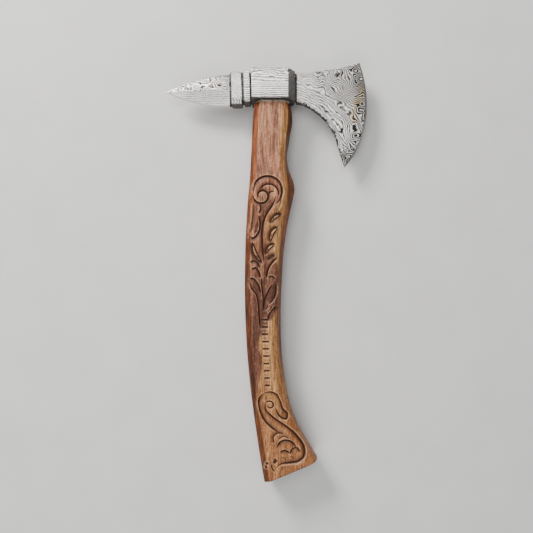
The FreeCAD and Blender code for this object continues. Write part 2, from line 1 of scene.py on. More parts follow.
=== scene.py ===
"""The looks of the spike-backed hatchet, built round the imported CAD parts.

Shapes are worked out in millimetres in the part's own frame and written to the meshes in metres: X runs
from the spike to the cutting edge, Y from the butt to the top of the head, Z up through the thickness.
"""

import math

import bmesh
import bpy
import numpy as np
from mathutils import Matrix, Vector, kdtree


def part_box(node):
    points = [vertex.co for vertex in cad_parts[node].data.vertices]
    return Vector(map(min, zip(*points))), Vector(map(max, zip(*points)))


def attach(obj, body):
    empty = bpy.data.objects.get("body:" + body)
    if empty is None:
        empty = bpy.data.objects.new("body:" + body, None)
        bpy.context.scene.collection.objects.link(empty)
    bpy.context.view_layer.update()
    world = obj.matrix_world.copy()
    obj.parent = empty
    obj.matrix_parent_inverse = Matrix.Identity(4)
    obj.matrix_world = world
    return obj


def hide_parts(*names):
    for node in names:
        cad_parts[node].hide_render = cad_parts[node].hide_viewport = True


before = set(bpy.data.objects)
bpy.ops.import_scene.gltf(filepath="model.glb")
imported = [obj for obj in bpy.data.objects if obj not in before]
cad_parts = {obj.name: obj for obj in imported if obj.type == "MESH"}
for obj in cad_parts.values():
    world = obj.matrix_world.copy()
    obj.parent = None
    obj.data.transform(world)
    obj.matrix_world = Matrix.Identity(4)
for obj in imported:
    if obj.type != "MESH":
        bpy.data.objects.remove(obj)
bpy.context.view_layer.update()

MM = 0.001


def node_box(name):
    """Lowest and highest corner of a CAD node, in millimetres."""
    low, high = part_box(name)
    return np.array(low) / MM, np.array(high) / MM


HEAD_LOW, HEAD_HIGH = node_box("axe_head")
HANDLE_LOW, HANDLE_HIGH = node_box("handle")
BEDDING_LOW, BEDDING_HIGH = node_box("eye_bedding")
WEDGE_LOW, WEDGE_HIGH = node_box("eye_wedge")
STEEL_LOW = node_box("steel_wedges")[0]

MIDDLE = (HEAD_LOW[2] + HEAD_HIGH[2]) / 2
EYE_TOP = HANDLE_HIGH[1]
EYE_FOOT = BEDDING_HIGH[1]
SHOULDER = BEDDING_LOW[1]
HANDLE_LONG = SHOULDER - HANDLE_LOW[1]

# ---------------------------------------------------------------- numbers and curves


def lattice_noise(x, y, cell, seed):
    """Smooth noise from -1 to 1 over the plane, with bumps about one cell across."""
    size = 61
    values = np.random.default_rng(seed).uniform(-1, 1, (size, size))
    column, row = np.floor(x / cell).astype(int), np.floor(y / cell).astype(int)
    across, along = x / cell - column, y / cell - row
    across = across * across * (3 - 2 * across)
    along = along * along * (3 - 2 * along)
    corners = [values[(row + j) % size, (column + i) % size] for j in (0, 1) for i in (0, 1)]
    low = corners[0] * (1 - across) + corners[1] * across
    high = corners[2] * (1 - across) + corners[3] * across
    return low * (1 - along) + high * along


def smooth_step(low, high, value):
    """0 below low, 1 above high, and a smooth rise between them."""
    share = np.clip((value - low) / (high - low), 0, 1)
    return share * share * (3 - 2 * share)


def smooth_between(knots, values, at):
    """A smooth curve through (knot, value) pairs, read at any places."""
    knots, values = np.array(knots, float), np.array(values, float)
    slopes = np.gradient(values, knots)
    index = np.clip(np.searchsorted(knots, at) - 1, 0, len(knots) - 2)
    span = knots[index + 1] - knots[index]
    share = (at - knots[index]) / span
    start, end = values[index], values[index + 1]
    bend_in, bend_out = slopes[index] * span, slopes[index + 1] * span
    return (
        start * (2 * share**3 - 3 * share**2 + 1)
        + bend_in * (share**3 - 2 * share**2 + share)
        + end * (3 * share**2 - 2 * share**3)
        + bend_out * (share**3 - share**2)
    )


def unit(vector):
    """The vector with a length of one."""
    return vector / np.linalg.norm(vector)


def turned(vector):
    """The vector turned a quarter to the left."""
    return np.array([-vector[1], vector[0]])


def distances(points):
    """Distance along a polyline at each of its points."""
    return np.concatenate([[0], np.cumsum(np.linalg.norm(np.diff(points, axis=0), axis=1))])


def resampled(points, shares):
    """Points along a polyline at shares of its length."""
    points = np.asarray(points)
    along = distances(points)
    return np.column_stack([np.interp(shares, along / along[-1], column) for column in points.T])


def evenly(curve, step):
    """The curve with its points the same small step apart."""
    return resampled(curve, np.linspace(0, 1, max(8, round(distances(curve)[-1] / step))))


def arc(centre, radius, start, end):
    """Points on an arc between two angles in radians."""
    angles = np.linspace(start, end, 200)
    return np.column_stack([centre[0] + radius * np.cos(angles), centre[1] + radius * np.sin(angles)])


def angle_of(point, centre):
    """The direction of a point from a centre, in radians."""
    return math.atan2(point[1] - centre[1], point[0] - centre[0])


# ---------------------------------------------------------------- meshes


def mesh_object(name, points, faces, material=None):
    """An object of the shape, from points in millimetres, shaded smooth apart from its sharp edges."""
    mesh = bpy.data.meshes.new(name)
    mesh.from_pydata((np.asarray(points) * MM).tolist(), [], faces)
    mesh.validate()
    outwards(mesh)
    smooth_faces(mesh, 35)
    made = bpy.data.objects.new(name, mesh)
    bpy.context.scene.collection.objects.link(made)
    mesh.materials.append(material or bpy.data.materials.new("none"))
    return made


def smooth_faces(mesh, sharp):
    """Shades a mesh smooth, apart from edges that are sharper than an angle in degrees."""
    mesh.polygons.foreach_set("use_smooth", [True] * len(mesh.polygons))
    mesh.set_sharp_from_angle(angle=math.radians(sharp))


def outwards(mesh):
    """Turns every face outwards."""
    work = bmesh.new()
    work.from_mesh(mesh)
    bmesh.ops.recalc_face_normals(work, faces=work.faces)
    work.to_mesh(mesh)
    work.free()


def joined(first, second, around):
    """Faces between two loops of points, which are given by the number of their first point."""
    pairs = [(i, (i + 1) % around) for i in range(around)]
    return [(first + i, first + following, second + following, second + i) for i, following in pairs]


def tube_faces(rows, around):
    """Faces between closed loops of points."""
    return [face for row in range(rows - 1) for face in joined(row * around, (row + 1) * around, around)]


def end_faces(rows, around):
    """The faces over both ends of such a tube."""
    return [tuple(range(first, first + around)) for first in (0, (rows - 1) * around)]


def cut_away(target, cutters):
    """Cuts closed objects out of the target and takes them away from the scene."""
    for cutter in cutters:
        cut = target.modifiers.new("cut", "BOOLEAN")
        cut.operation = "DIFFERENCE"
        cut.solver = "EXACT"
        cut.object = cutter
        seen = bpy.context.evaluated_depsgraph_get()
        result = bpy.data.meshes.new_from_object(target.evaluated_get(seen))
        target.modifiers.remove(cut)
        target.data = result
        bpy.data.objects.remove(cutter)


def octagon_loop(angles, half_wide, half_thick, height, corner=5.0):
    """A loop of the eye's eight-sided section at a height, at angles about the eye's axis."""
    cos, sin = np.abs(np.cos(angles)), np.abs(np.sin(angles))
    reach = np.minimum(half_wide / np.maximum(cos, 1e-6), half_thick / np.maximum(sin, 1e-6))
    reach = np.minimum(reach, (half_wide + half_thick - corner) / (cos + sin))
    y = np.broadcast_to(height, angles.shape)
    return np.column_stack([reach * np.cos(angles), y, MIDDLE + reach * np.sin(angles)])


# ---------------------------------------------------------------- head: sizes

# The eye block with its cheeks and slanted facets, from the back of the block to the throat.
BLOCK_BACK = -20.0
CHEEK_END = 16.5
FACET_END = 23.8
FACET_HALF = 6.5
ROOT_X = 25.2
THROAT_DEEP = 1.3
GROOVE_DEEP = 1.5
BLOCK_HALF = (HEAD_HIGH[2] - HEAD_LOW[2]) / 2

# The blade.
ROOT_HIGH = EYE_TOP - 0.5
ROOT_HALF = 5.5
EDGE_HALF = 1.3
EDGE_RADIUS = 122.0
EDGE_CENTRE = np.array([HEAD_HIGH[0] - EDGE_RADIUS, -16.4])
TOE_Y = HEAD_HIGH[1]
TURN_Y = -48.0
HEEL_RADIUS = 76.0
HEEL_Y = HEAD_LOW[1]
TOP_RADIUS = 300.0
BEARD_CENTRE = np.array([10.6, -72.0])
BEARD_RADIUS = 58.0
BEARD_END = math.radians(14.4)
BEVEL_WIDE = 2.0

# The eye's half width and half thickness at its foot and at its top, and the easing of its rim.
EYE_FOOT_HALF = (14.5, 11.0)
EYE_TOP_HALF = (15.25, 12.5)
EYE_EASE = 0.7

# Poll rings, grooves and spike: back and front along X, height, half thickness and drop of the middle.
FRONT_RING = (-28.2, -21.6, 31.4, 10.0, 1.1)
BACK_RING = (-40.8, -29.8, 33.0, 9.0, 2.5)
RING_LEAN = 0.035
SPIKE_BASE = -42.4
SPIKE_TIP = HEAD_LOW[0]
SPIKE_HIGH = 32.6
SPIKE_HALF = 8.5
SPIKE_TIP_HALF = 0.8
SPIKE_EDGE = 0.3
SPIKE_BEVEL = 1.3
SPIKE_DROP = 2.8
SPIKE_TIP_DROP = 4.7

# How far apart along X two loops are that make a wall across the head.
WALL_STEP = 0.05

CHEEK_POINTS = 101
WALL_POINTS = 24
ACROSS = np.linspace(0, 1, CHEEK_POINTS)
DOWN = np.linspace(1, -1, WALL_POINTS)

# ---------------------------------------------------------------- head: loops round the forging


def wall_points(edge, down):
    """Points down a wall of the head, from the x, y and half thickness at its edge."""
    x, y, half = edge
    return np.column_stack([np.full(WALL_POINTS, x), np.full(WALL_POINTS, y), down * half])


def closed_loop(cheek_x, cheek_y, cheek_half, wall_low, wall_high):
    """One loop round the head: upper cheek, top wall, lower cheek, bottom wall.

    wall_low and wall_high give x, y and the half thickness of the wall's edge."""
    upper = np.column_stack([cheek_x, cheek_y, cheek_half])
    lower = np.column_stack([cheek_x, cheek_y, -cheek_half])[::-1]
    return np.concatenate([upper, wall_points(wall_high, DOWN), lower, wall_points(wall_low, -DOWN)])


def box_loop(x, low, high, half, edge=0.6, lean=0.0, bridge=0.0):
    """A loop with flat walls. bridge is what the middle of each cheek stands proud by."""
    edge = min(edge, half * 0.6)
    y = low + edge + (high - low - 2 * edge) * ACROSS
    thick = half + bridge * np.exp(-(((y - ridge_y(0)) / 1.1) ** 2))
    lean_x = x - lean * (y - (low + high) / 2)
    ends = [x - lean * (place - (low + high) / 2) for place in (low, high)]
    return closed_loop(lean_x, y, thick, (ends[0], low, half - edge), (ends[1], high, half - edge))


def ridge_y(back):
    """Height of the spike's ridge, from its base, where back is 0, to its tip, where back is 1."""
    return -(SPIKE_DROP + (SPIKE_TIP_DROP - SPIKE_DROP) * back)


def spike_loops():
    """Loops from the tip of the spike to its base: two facets and a thin ground bevel on each edge."""
    loops = []
    for share in 1 - (1 - np.linspace(0, 1, 60)) ** 1.35:
        back = 1 - share
        half_high = SPIKE_HIGH / 2 * (1 - (back * 0.99) ** 2)
        low, high = ridge_y(back) - half_high, ridge_y(back) + half_high
        ridge = SPIKE_HALF * share + SPIKE_TIP_HALF * back
        x = SPIKE_TIP + (SPIKE_BASE - SPIKE_TIP) * share
        y = low + (high - low) * ACROSS
        shoulder = min(SPIKE_BEVEL, ridge * 0.6)
        facet = shoulder + (ridge - shoulder) * (1 - np.abs(2 * ACROSS - 1))
        bevel = SPIKE_EDGE + 1.15 * np.minimum(y - low, high - y)
        thick = np.minimum(facet, bevel)
        wall = SPIKE_EDGE * 0.8
        loops.append(closed_loop(np.full_like(y, x), y, thick, (x, low, wall), (x, high, wall)))
    return loops


def ring_loops(ring):
    """The loops of one poll ring, with small bevels at its ends."""
    back, front, high, half, drop = ring
    bevel = 0.7
    places = [(back, bevel), (back + bevel, 0)]
    places += [(x, 0) for x in np.linspace(back + bevel, front - bevel, 8)[1:-1]]
    places += [(front - bevel, 0), (front, bevel)]
    loops = []
    for x, inset in places:
        low, top = -drop - high / 2 + inset, -drop + high / 2 - inset
        loops.append(box_loop(x, low, top, half - inset, 0.9, RING_LEAN))
    return loops


def core_loops(back, front, ring, bridge=0.0):
    """The recessed core between two rings, or between a ring and its neighbour."""
    high, half, drop = ring[2:]
    low, top = -drop - high / 2 + GROOVE_DEEP, -drop + high / 2 - GROOVE_DEEP
    lean = 0 if bridge else RING_LEAN
    ends = (back + WALL_STEP, front - WALL_STEP)
    return [box_loop(x, low, top, half - GROOVE_DEEP, 0.6, lean, bridge) for x in ends]


def block_loops():
    """The eye block: bevelled back, flat cheeks, slanted facets and the recessed throat."""
    bevel = 0.6
    low, top = EYE_FOOT, EYE_TOP
    loops = []
    for out, inset, edge in ((0, bevel, 0.6), (bevel * 0.3, bevel * 0.3, 0.7)):
        loops.append(box_loop(BLOCK_BACK + out, low + inset, top - inset, BLOCK_HALF - inset, edge))
    for x in np.linspace(BLOCK_BACK + bevel, CHEEK_END - 0.3, 34):
        loops.append(box_loop(x, low, top, BLOCK_HALF, 0.7))
    slope = (BLOCK_HALF - FACET_HALF) / (FACET_END - CHEEK_END)
    for x in np.linspace(CHEEK_END + 0.15, FACET_END - 0.4, 12):
        flare = 0.8 * smooth_step(CHEEK_END, FACET_END, x)
        loops.append(box_loop(x, low - flare, top, BLOCK_HALF - slope * (x - CHEEK_END), 0.7))
    loops.append(box_loop(FACET_END, low - 0.4, top - 0.4, FACET_HALF - 0.2, 0.5))
    inside = (low + THROAT_DEEP, top - THROAT_DEEP - 0.5, ROOT_HALF - THROAT_DEEP * 0.7)
    throat = [box_loop(x, *inside, 0.5) for x in (FACET_END + WALL_STEP, ROOT_X - WALL_STEP)]
    return loops + throat


def bites(length, pitch, deep, seed):
    """Forged bites along an edge: a function from distance along it to depth."""
    random = np.random.default_rng(seed)
    ends = [0.0]
    while ends[-1] < length:
        ends.append(ends[-1] + pitch * random.uniform(0.65, 1.35))
    depths = deep * random.uniform(0.45, 1.1, len(ends))

    def depth(along):
        index = np.clip(np.searchsorted(ends, along) - 1, 0, len(ends) - 2)
        start, stop = np.array(ends)[index], np.array(ends)[index + 1]
        share = (along - start) / (stop - start)
        return depths[index] * (1 - np.abs(2 * share - 1) ** 2.2)

    return depth


def paired(depths):
    """Bites on the two cheeks, which follow each other in part."""
    return depths[0], 0.6 * depths[0] + 0.4 * depths[1]


def meet_circles(first, first_radius, second, second_radius, near):
    """Where two circles cross, at the crossing nearest to a point."""
    between = second - first
    distance = np.linalg.norm(between)
    along = (distance**2 + first_radius**2 - second_radius**2) / (2 * distance)
    rise = math.sqrt(max(first_radius**2 - along**2, 0))
    middle = first + unit(between) * along
    crossings = [middle + turned(unit(between)) * rise * side for side in (1, -1)]
    return min(crossings, key=lambda point: np.linalg.norm(point - near))


def on_circle(centre, radius, y):
    """The point on the right of a circle at a height."""
    return np.array([centre[0] + math.sqrt(radius**2 - (y - centre[1]) ** 2), y])


# Where the two arcs of the cutting edge meet, and the centre of the lower one.
EDGE_TURN = on_circle(EDGE_CENTRE, EDGE_RADIUS, TURN_Y)
HEEL_CENTRE = EDGE_TURN + (EDGE_CENTRE - EDGE_TURN) * HEEL_RADIUS / EDGE_RADIUS


def edge_curve(inset, low, high):
    """The cutting edge from heel to toe, moved inwards by an inset."""
    turn_angle = angle_of(EDGE_TURN, EDGE_CENTRE)
    lower = arc(HEEL_CENTRE, HEEL_RADIUS - inset, angle_of(low, HEEL_CENTRE), turn_angle)
    upper = arc(EDGE_CENTRE, EDGE_RADIUS - inset, turn_angle, angle_of(high, EDGE_CENTRE))
    return np.concatenate([lower, upper[1:]])


def blade_outline():
    """The four sides of the blade inside its bevel, and its cutting edge."""
    toe = on_circle(EDGE_CENTRE, EDGE_RADIUS, TOE_Y)
    heel = on_circle(HEEL_CENTRE, HEEL_RADIUS, HEEL_Y)
    root_top = np.array([ROOT_X, ROOT_HIGH])
    root_rise = math.sqrt(BEARD_RADIUS**2 - (ROOT_X - BEARD_CENTRE[0]) ** 2)
    root_low = np.array([ROOT_X, BEARD_CENTRE[1] + root_rise])
    chord = toe - root_top
    reach = math.sqrt(TOP_RADIUS**2 - chord.dot(chord) / 4)
    top_centre = (root_top + toe) / 2 + unit(turned(chord)) * reach
    corner = BEARD_CENTRE + BEARD_RADIUS * np.array([math.cos(BEARD_END), math.sin(BEARD_END)])
    inner_toe = meet_circles(EDGE_CENTRE, EDGE_RADIUS - BEVEL_WIDE, top_centre, TOP_RADIUS, toe)
    inner_heel = heel - unit(heel - corner) * BEVEL_WIDE * 1.25
    return {
        "root": (root_low, root_top),
        "beard": arc(BEARD_CENTRE, BEARD_RADIUS, angle_of(root_low, BEARD_CENTRE), BEARD_END),
        "corner": corner,
        "inner_heel": inner_heel,
        "top": arc(top_centre, TOP_RADIUS, angle_of(root_top, top_centre), angle_of(inner_toe, top_centre)),
        "inner": edge_curve(BEVEL_WIDE, inner_heel, inner_toe),
        "outer": edge_curve(0, heel, toe),
    }


def blade_grid():
    """Rows of points across the blade, from its root to the start of its bevel, and the points of its
    cutting edge. u is the share of the way from root to edge, v the share from beard to top."""
    sides = blade_outline()
    arc_length = BEARD_RADIUS * (angle_of(sides["root"][0], BEARD_CENTRE) - BEARD_END)
    facet_length = np.linalg.norm(sides["inner_heel"] - sides["corner"])
    rows = 96
    before = round(rows * arc_length / (arc_length + facet_length))
    beard = resampled(sides["beard"], np.linspace(0, 1, before + 1))
    facet = resampled([sides["corner"], sides["inner_heel"]], np.linspace(0, 1, rows - before + 1))
    low = np.concatenate([beard, facet[1:]])
    high = resampled(sides["top"], np.linspace(0, 1, rows + 1))
    start = resampled(sides["root"], ACROSS)
    end = resampled(sides["inner"], ACROSS)
    u = np.linspace(0, 1, rows + 1)[:, None, None]
    v = ACROSS[None, :, None]
    ruled = (1 - v) * low[:, None] + v * high[:, None] + (1 - u) * start[None] + u * end[None]
    corners = (1 - u) * ((1 - v) * start[0] + v * start[-1]) + u * ((1 - v) * end[0] + v * end[-1])
    return ruled - corners, resampled(sides["outer"], ACROSS)


def blade_half(points):
    """Half the blade's thickness before the bevel: it tapers in rings about the edge's centre."""
    distance = np.hypot(points[..., 0] - EDGE_CENTRE[0], points[..., 1] - EDGE_CENTRE[1])
    root = ROOT_X - EDGE_CENTRE[0]
    return ROOT_HALF + (EDGE_HALF - ROOT_HALF) * (distance - root) / (EDGE_RADIUS - root)


# Pitch and depth of the forged bites in the blade's upper and lower rim.
TOP_BITES = (5.4, 1.7)
LOW_BITES = (5.0, 2.3)

# How wide and deep the rims of the blade are eased, and the share of the thickness left in their walls.
RIM_WIDE = 1.9
RIM_EASE = 0.35
RIM_HALF = 0.86


def blade_loops():
    """Loops from the blade's root to its cutting edge, with the forged bites in both of its rims, and the
    share of the way from root to edge of each. It is more than 1 on the bevel."""
    grid, outer = blade_grid()
    top_along, low_along = distances(grid[:, -1]), distances(grid[:, 0])
    top_bites = [bites(top_along[-1], *TOP_BITES, seed) for seed in (3, 4)]
    low_bites = [bites(low_along[-1], *LOW_BITES, seed) for seed in (5, 6)]
    loops, places = [], list(np.linspace(0, 1, len(grid)))
    for row, (line, place) in enumerate(zip(grid, places)):
        top_fade = smooth_step(0, 4, top_along[row]) * smooth_step(1.0, 0.97, place)
        low_fade = smooth_step(0, 3, low_along[row]) * (1 - smooth_step(0.70, 0.76, place))
        top_bite = paired([bite(top_along[row]) * top_fade for bite in top_bites])
        low_bite = paired([bite(low_along[row]) * low_fade for bite in low_bites])
        up, down = unit(line[-1] - line[-2]), unit(line[0] - line[1])
        half = blade_half(line) - (0.5 if row == 0 else 0)
        from_rims = [np.linalg.norm(line - rim, axis=1) for rim in line[[-1, 0]]]
        near_top, near_low = (np.exp(-((away / RIM_WIDE) ** 2)) for away in from_rims)
        cheeks = []
        for top, low in zip(top_bite, low_bite):
            top_pull, low_pull = (top + RIM_EASE) * near_top, (low + RIM_EASE) * near_low
            cheeks.append(line - up * top_pull[:, None] - down * low_pull[:, None])
        dent = 0.10 * lattice_noise(*line.T, 9.0, 11)
        upper = np.column_stack([cheeks[0], half + dent])
        lower = np.column_stack([cheeks[1], -half - dent])[::-1]
        share = (1 - DOWN) / 2
        top_wall = line[-1] - up * (0.85 * (top_bite[0] * (1 - share) + top_bite[1] * share))[:, None]
        low_wall = line[0] - down * (0.45 * (low_bite[1] * (1 - share) + low_bite[0] * share))[:, None]
        top_wall = np.column_stack([top_wall, DOWN * half[-1] * RIM_HALF])
        low_wall = np.column_stack([low_wall, -DOWN * half[0] * RIM_HALF])
        loops.append(np.concatenate([upper, top_wall, lower, low_wall]))
    inner = grid[-1]
    for share, thinning in ((0.12, 0.93), (0.5, 0.62), (0.85, 0.3), (1.0, 0.1)):
        line = inner + (outer - inner) * share
        half = thinning * (blade_half(inner) / EDGE_HALF)
        low_edge, high_edge = ((*line[end], half[end] * RIM_HALF) for end in (0, -1))
        loops.append(closed_loop(*line.T, half, low_edge, high_edge))
        places.append(1 + share)
    return loops, places


# ---------------------------------------------------------------- head: layered pattern


def blade_layers(x, y, u, v):
    """Height of the steel's folded layers over the blade: its contour lines are the etched pattern."""
    wild = smooth_step(0.0, 0.4, u) * (0.35 + 0.65 * smooth_step(0.3, 0.6, v))
    fan = v * (12 + 13 * u)
    drawn = 1.8 * lattice_noise(u * 40, v * 120, 12.0, 23) * smooth_step(0.1, 0.6, u)
    eyes = 3.0 * lattice_noise(x, y, 16.0, 21) + 1.7 * lattice_noise(x + 40, y, 8.5, 22)
    arches = 1.5 * lattice_noise(x, y, 8.0, 25) * smooth_step(0.45, 0.75, v)
    tiger = lattice_noise(x * 0.8 + y * 0.5, y * 0.9 - x * 0.45, 5.5, 26) * smooth_step(0.78, 0.93, u)
    return fan + drawn + wild * eyes + arches + 1.9 * tiger + 0.3 * lattice_noise(x, y, 3.0, 24)


def solid_layers(x, y, z):
    """Height of the folded layers in the block, rings and spike, which are cut across the billet."""
    block = smooth_step(BLOCK_BACK - 1, BLOCK_BACK, x)
    front_ring = (1 - block) * (x > (FRONT_RING[0] + BACK_RING[1]) / 2)
    back_ring = (1 - block - front_ring) * (x > BACK_RING[0] - 0.7)
    spike = 1 - block - front_ring - back_ring
    swirl = 0.22 + 1.6 * smooth_step(5, 13, y)
    in_block = y / 2.2 + z / 2.6 + swirl * lattice_noise(x, y * 1.2 + z, 5.5, 31)
    in_block = in_block + 0.9 * lattice_noise(x * 0.3, y, 6.0, 37)
    in_front = y / 2.1 + z / 2 + 0.4 * lattice_noise(x * 0.6, y, 4.0, 34)
    in_back = (1.0 * x + 0.05 * (y + 18) ** 2) / 3.1 + z / 2 + 0.5 * lattice_noise(x, y, 7.0, 32)
    upper = smooth_step(-1.0, 0.5, y - ridge_line(x))
    flat = y / 2.4 + z / 2 + 0.35 * lattice_noise(x * 0.5, y, 5.0, 33)
    eyes = 1.5 * lattice_noise(x, y * 1.5, 6.0, 35) + 0.8 * lattice_noise(x, y, 3.0, 36)
    return block * in_block + front_ring * in_front + back_ring * in_back + spike * (flat + upper * eyes)


def ridge_line(x):
    """Height of the spike's ridge at a place along X."""
    return ridge_y((SPIKE_BASE - x) / (SPIKE_BASE - SPIKE_TIP))


def steel_figure(x, y, u, v, on_blade):
    """How strongly the etched pattern shows, and how pale the steel is between its dark lines."""
    heel = smooth_step(-61, -69, y)
    low = smooth_step(0.5, 0.2, v) * smooth_step(0.35, 0.6, u)
    edge = smooth_step(0.78, 0.92, u)
    figure = 0.68 + 0.17 * smooth_step(0.12, 0.4, u) + 0.68 * low + 0.35 * edge - 0.5 * heel
    pale = 0.73 - 0.13 * smooth_step(0.2, 0.5, u) * smooth_step(0.3, 0.6, v) - 0.22 * edge - 0.19 * heel
    pale = pale + 0.03 * low
    above = y - ridge_line(x)
    upper = smooth_step(-1.0, 0.5, above)
    in_spike = x < BACK_RING[0] - 1
    near_ridge = upper * smooth_step(9.0, 2.0, above)
    solid = np.where(in_spike, 0.66 + 0.16 * near_ridge, 0.80 + 0.25 * smooth_step(5, 10, y))
    block_tone = 0.78 - 0.09 * smooth_step(-4, -15, y)
    # The spike's upper facet is darker: partly its denser pattern, partly painted shade.
    tone = np.where(in_spike, 0.91 - 0.40 * upper - 0.04 * near_ridge, block_tone)
    return np.where(on_blade, figure, solid), np.where(on_blade, pale, tone)


def scale_and_painted_shade(x, y, on_blade, cheek):
    """Forge scale and painted shade on the steel, from 0 to 1: scale and painted shade in the grooves,
    painted shade on the walls and on the slanted facets, and darker towards the bottom of the block and
    rings.
    """
    grooves = [
        (SPIKE_BASE + BACK_RING[0]) / 2,
        (BACK_RING[1] + FRONT_RING[0]) / 2,
        (FRONT_RING[1] + BLOCK_BACK) / 2,
        (FACET_END + ROOT_X) / 2,
    ]
    # Forge scale and painted shade in the grooves.
    scale = np.zeros_like(x)
    for index, middle in enumerate(grooves):
        lean = RING_LEAN * (y + BACK_RING[4]) * (0 < index < 3)
        near = 1 - smooth_step(0.72, 1.15, np.abs(x + lean - middle))
        if index == 0:
            near = near * (1 - np.exp(-(((y - ridge_y(0)) / 1.5) ** 2)))
        scale = np.maximum(scale, near)
    # Painted shade on the slanted facets, which face away from the light.
    facet = smooth_step(CHEEK_END, CHEEK_END + 0.4, x) * ~on_blade
    scale = np.maximum(scale, 0.66 * facet)
    # Darker towards the bottom of the block and the rings.
    scale = np.maximum(scale, 0.35 * smooth_step(-10.5, -15.5, y) * (x > SPIKE_BASE) * ~on_blade)
    # Painted shade on the walls round the head, darkest on the lower walls.
    wall = np.where(y > 0, 0.35, 0.85) * (x > SPIKE_BASE + 1)
    wall = np.where(on_blade, np.where(cheek > 0.5, 0.45, 0.8), wall)
    rim = (cheek == 0) | (cheek == 1)
    return np.where(rim, np.maximum(scale, wall), scale)


def golden_tint(x, y):
    """The warm stain between the lines near the cutting edge."""
    place = smooth_step(75, 84, x) * smooth_step(-46, -32, y) * smooth_step(9, -3, y)
    return place * smooth_step(-0.25, 0.35, lattice_noise(x, y, 6.5, 41))


def make_head(material):
    """The forged head as one closed mesh, with the eye cut through it."""
    solid = spike_loops()
    solid += core_loops(SPIKE_BASE, BACK_RING[0], BACK_RING, 1.2)
    solid += ring_loops(BACK_RING)
    solid += core_loops(BACK_RING[1], FRONT_RING[0], FRONT_RING)
    solid += ring_loops(FRONT_RING)
    solid += core_loops(FRONT_RING[1], BLOCK_BACK, FRONT_RING)
    solid += block_loops()
    blade, places = blade_loops()
    loops = np.array(solid + blade)
    around = loops.shape[1]
    points = loops.reshape(-1, 3)
    shares_u = np.repeat(np.array([-1.0] * len(solid) + places), around)
    inner = np.clip(ACROSS, 0.001, 0.999)
    cheek = np.concatenate([inner, np.ones(WALL_POINTS), inner[::-1], np.zeros(WALL_POINTS)])
    v = np.tile(cheek, len(loops))
    x, y, z = points.T
    on_blade = shares_u >= 0
    u = np.clip(shares_u, 0, 1)
    side = np.where(z > 0, 0.0, 57.0)
    layers = np.where(on_blade, blade_layers(x + side, y, u, v), solid_layers(x, y, z))
    bevel = smooth_step(1.0, 1.12, shares_u)
    back = (SPIKE_BASE - x) / (SPIKE_BASE - SPIKE_TIP)
    from_edge = SPIKE_HIGH / 2 * (1 - back**2) - np.abs(y - ridge_y(back))
    bevel = np.maximum(bevel, (x < SPIKE_BASE) * smooth_step(SPIKE_BEVEL, 0.9, from_edge))
    figure, pale = steel_figure(x, y, u, v, on_blade)
    values = {
        "layers": layers,
        "figure": figure,
        "pale": pale,
        "ground": bevel,
        # Forge scale and painted shade, from 0 to 1.
        "scale": scale_and_painted_shade(x, y, on_blade, v),
        "golden": golden_tint(x, y) * on_blade,
    }
    points = points + [0, 0, MIDDLE]
    made = mesh_object("axe_head_forged", points, head_faces(len(loops), around), material)
    cut_away(made, [eye_cutter()])
    spread_attributes(made, points, values)
    smooth_faces(made.data, 28)
    return made


def head_faces(rows, around):
    """Faces of the head: between its loops, over the spike's tip, and in strips over the cutting edge."""
    faces = tube_faces(rows, around) + end_faces(rows, around)[:1]
    last = (rows - 1) * around
    lower = CHEEK_POINTS + WALL_POINTS
    for i in range(1, CHEEK_POINTS - 2):
        opposite = lower + CHEEK_POINTS - 1 - i
        faces.append((last + i, last + i + 1, last + opposite - 1, last + opposite))
    faces.append(tuple(last + i for i in range(CHEEK_POINTS - 2, lower + 2)))
    faces.append((last, last + 1, *range(last + lower + CHEEK_POINTS - 2, last + around)))
    return faces


def eye_cutter():
    """The tapered eye with an eased rim at the top, a little longer than the block is high."""
    angles = np.linspace(0, 2 * math.pi, 96, endpoint=False) + 0.011
    slope = (EYE_TOP_HALF[0] - EYE_FOOT_HALF[0]) / (EYE_TOP - EYE_FOOT)
    below = 3.0
    foot, top = EYE_FOOT_HALF, EYE_TOP_HALF
    wide = 2 * EYE_EASE
    loops = [
        octagon_loop(angles, foot[0] - slope * below, foot[1] - slope * below * 2, EYE_FOOT - below),
        octagon_loop(angles, top[0], top[1], EYE_TOP - EYE_EASE),
        octagon_loop(angles, top[0] + wide, top[1] + wide, EYE_TOP + EYE_EASE),
    ]
    sizes = len(loops), len(angles)
    return mesh_object("eye_cutter", np.concatenate(loops), tube_faces(*sizes) + end_faces(*sizes))


def spread_attributes(target, points, attributes):
    """Gives each vertex the values of the nearest of the points."""
    tree = kdtree.KDTree(len(points))
    for index, point in enumerate(points * MM):
        tree.insert(point, index)
    tree.balance()
    nearest = [tree.find(vertex.co)[1] for vertex in target.data.vertices]
    for label, values in attributes.items():
        made = target.data.attributes.new(label, "FLOAT", "POINT")
        made.data.foreach_set("value", np.ravel(values).astype(np.float32)[nearest])


# ---------------------------------------------------------------- handle: shape

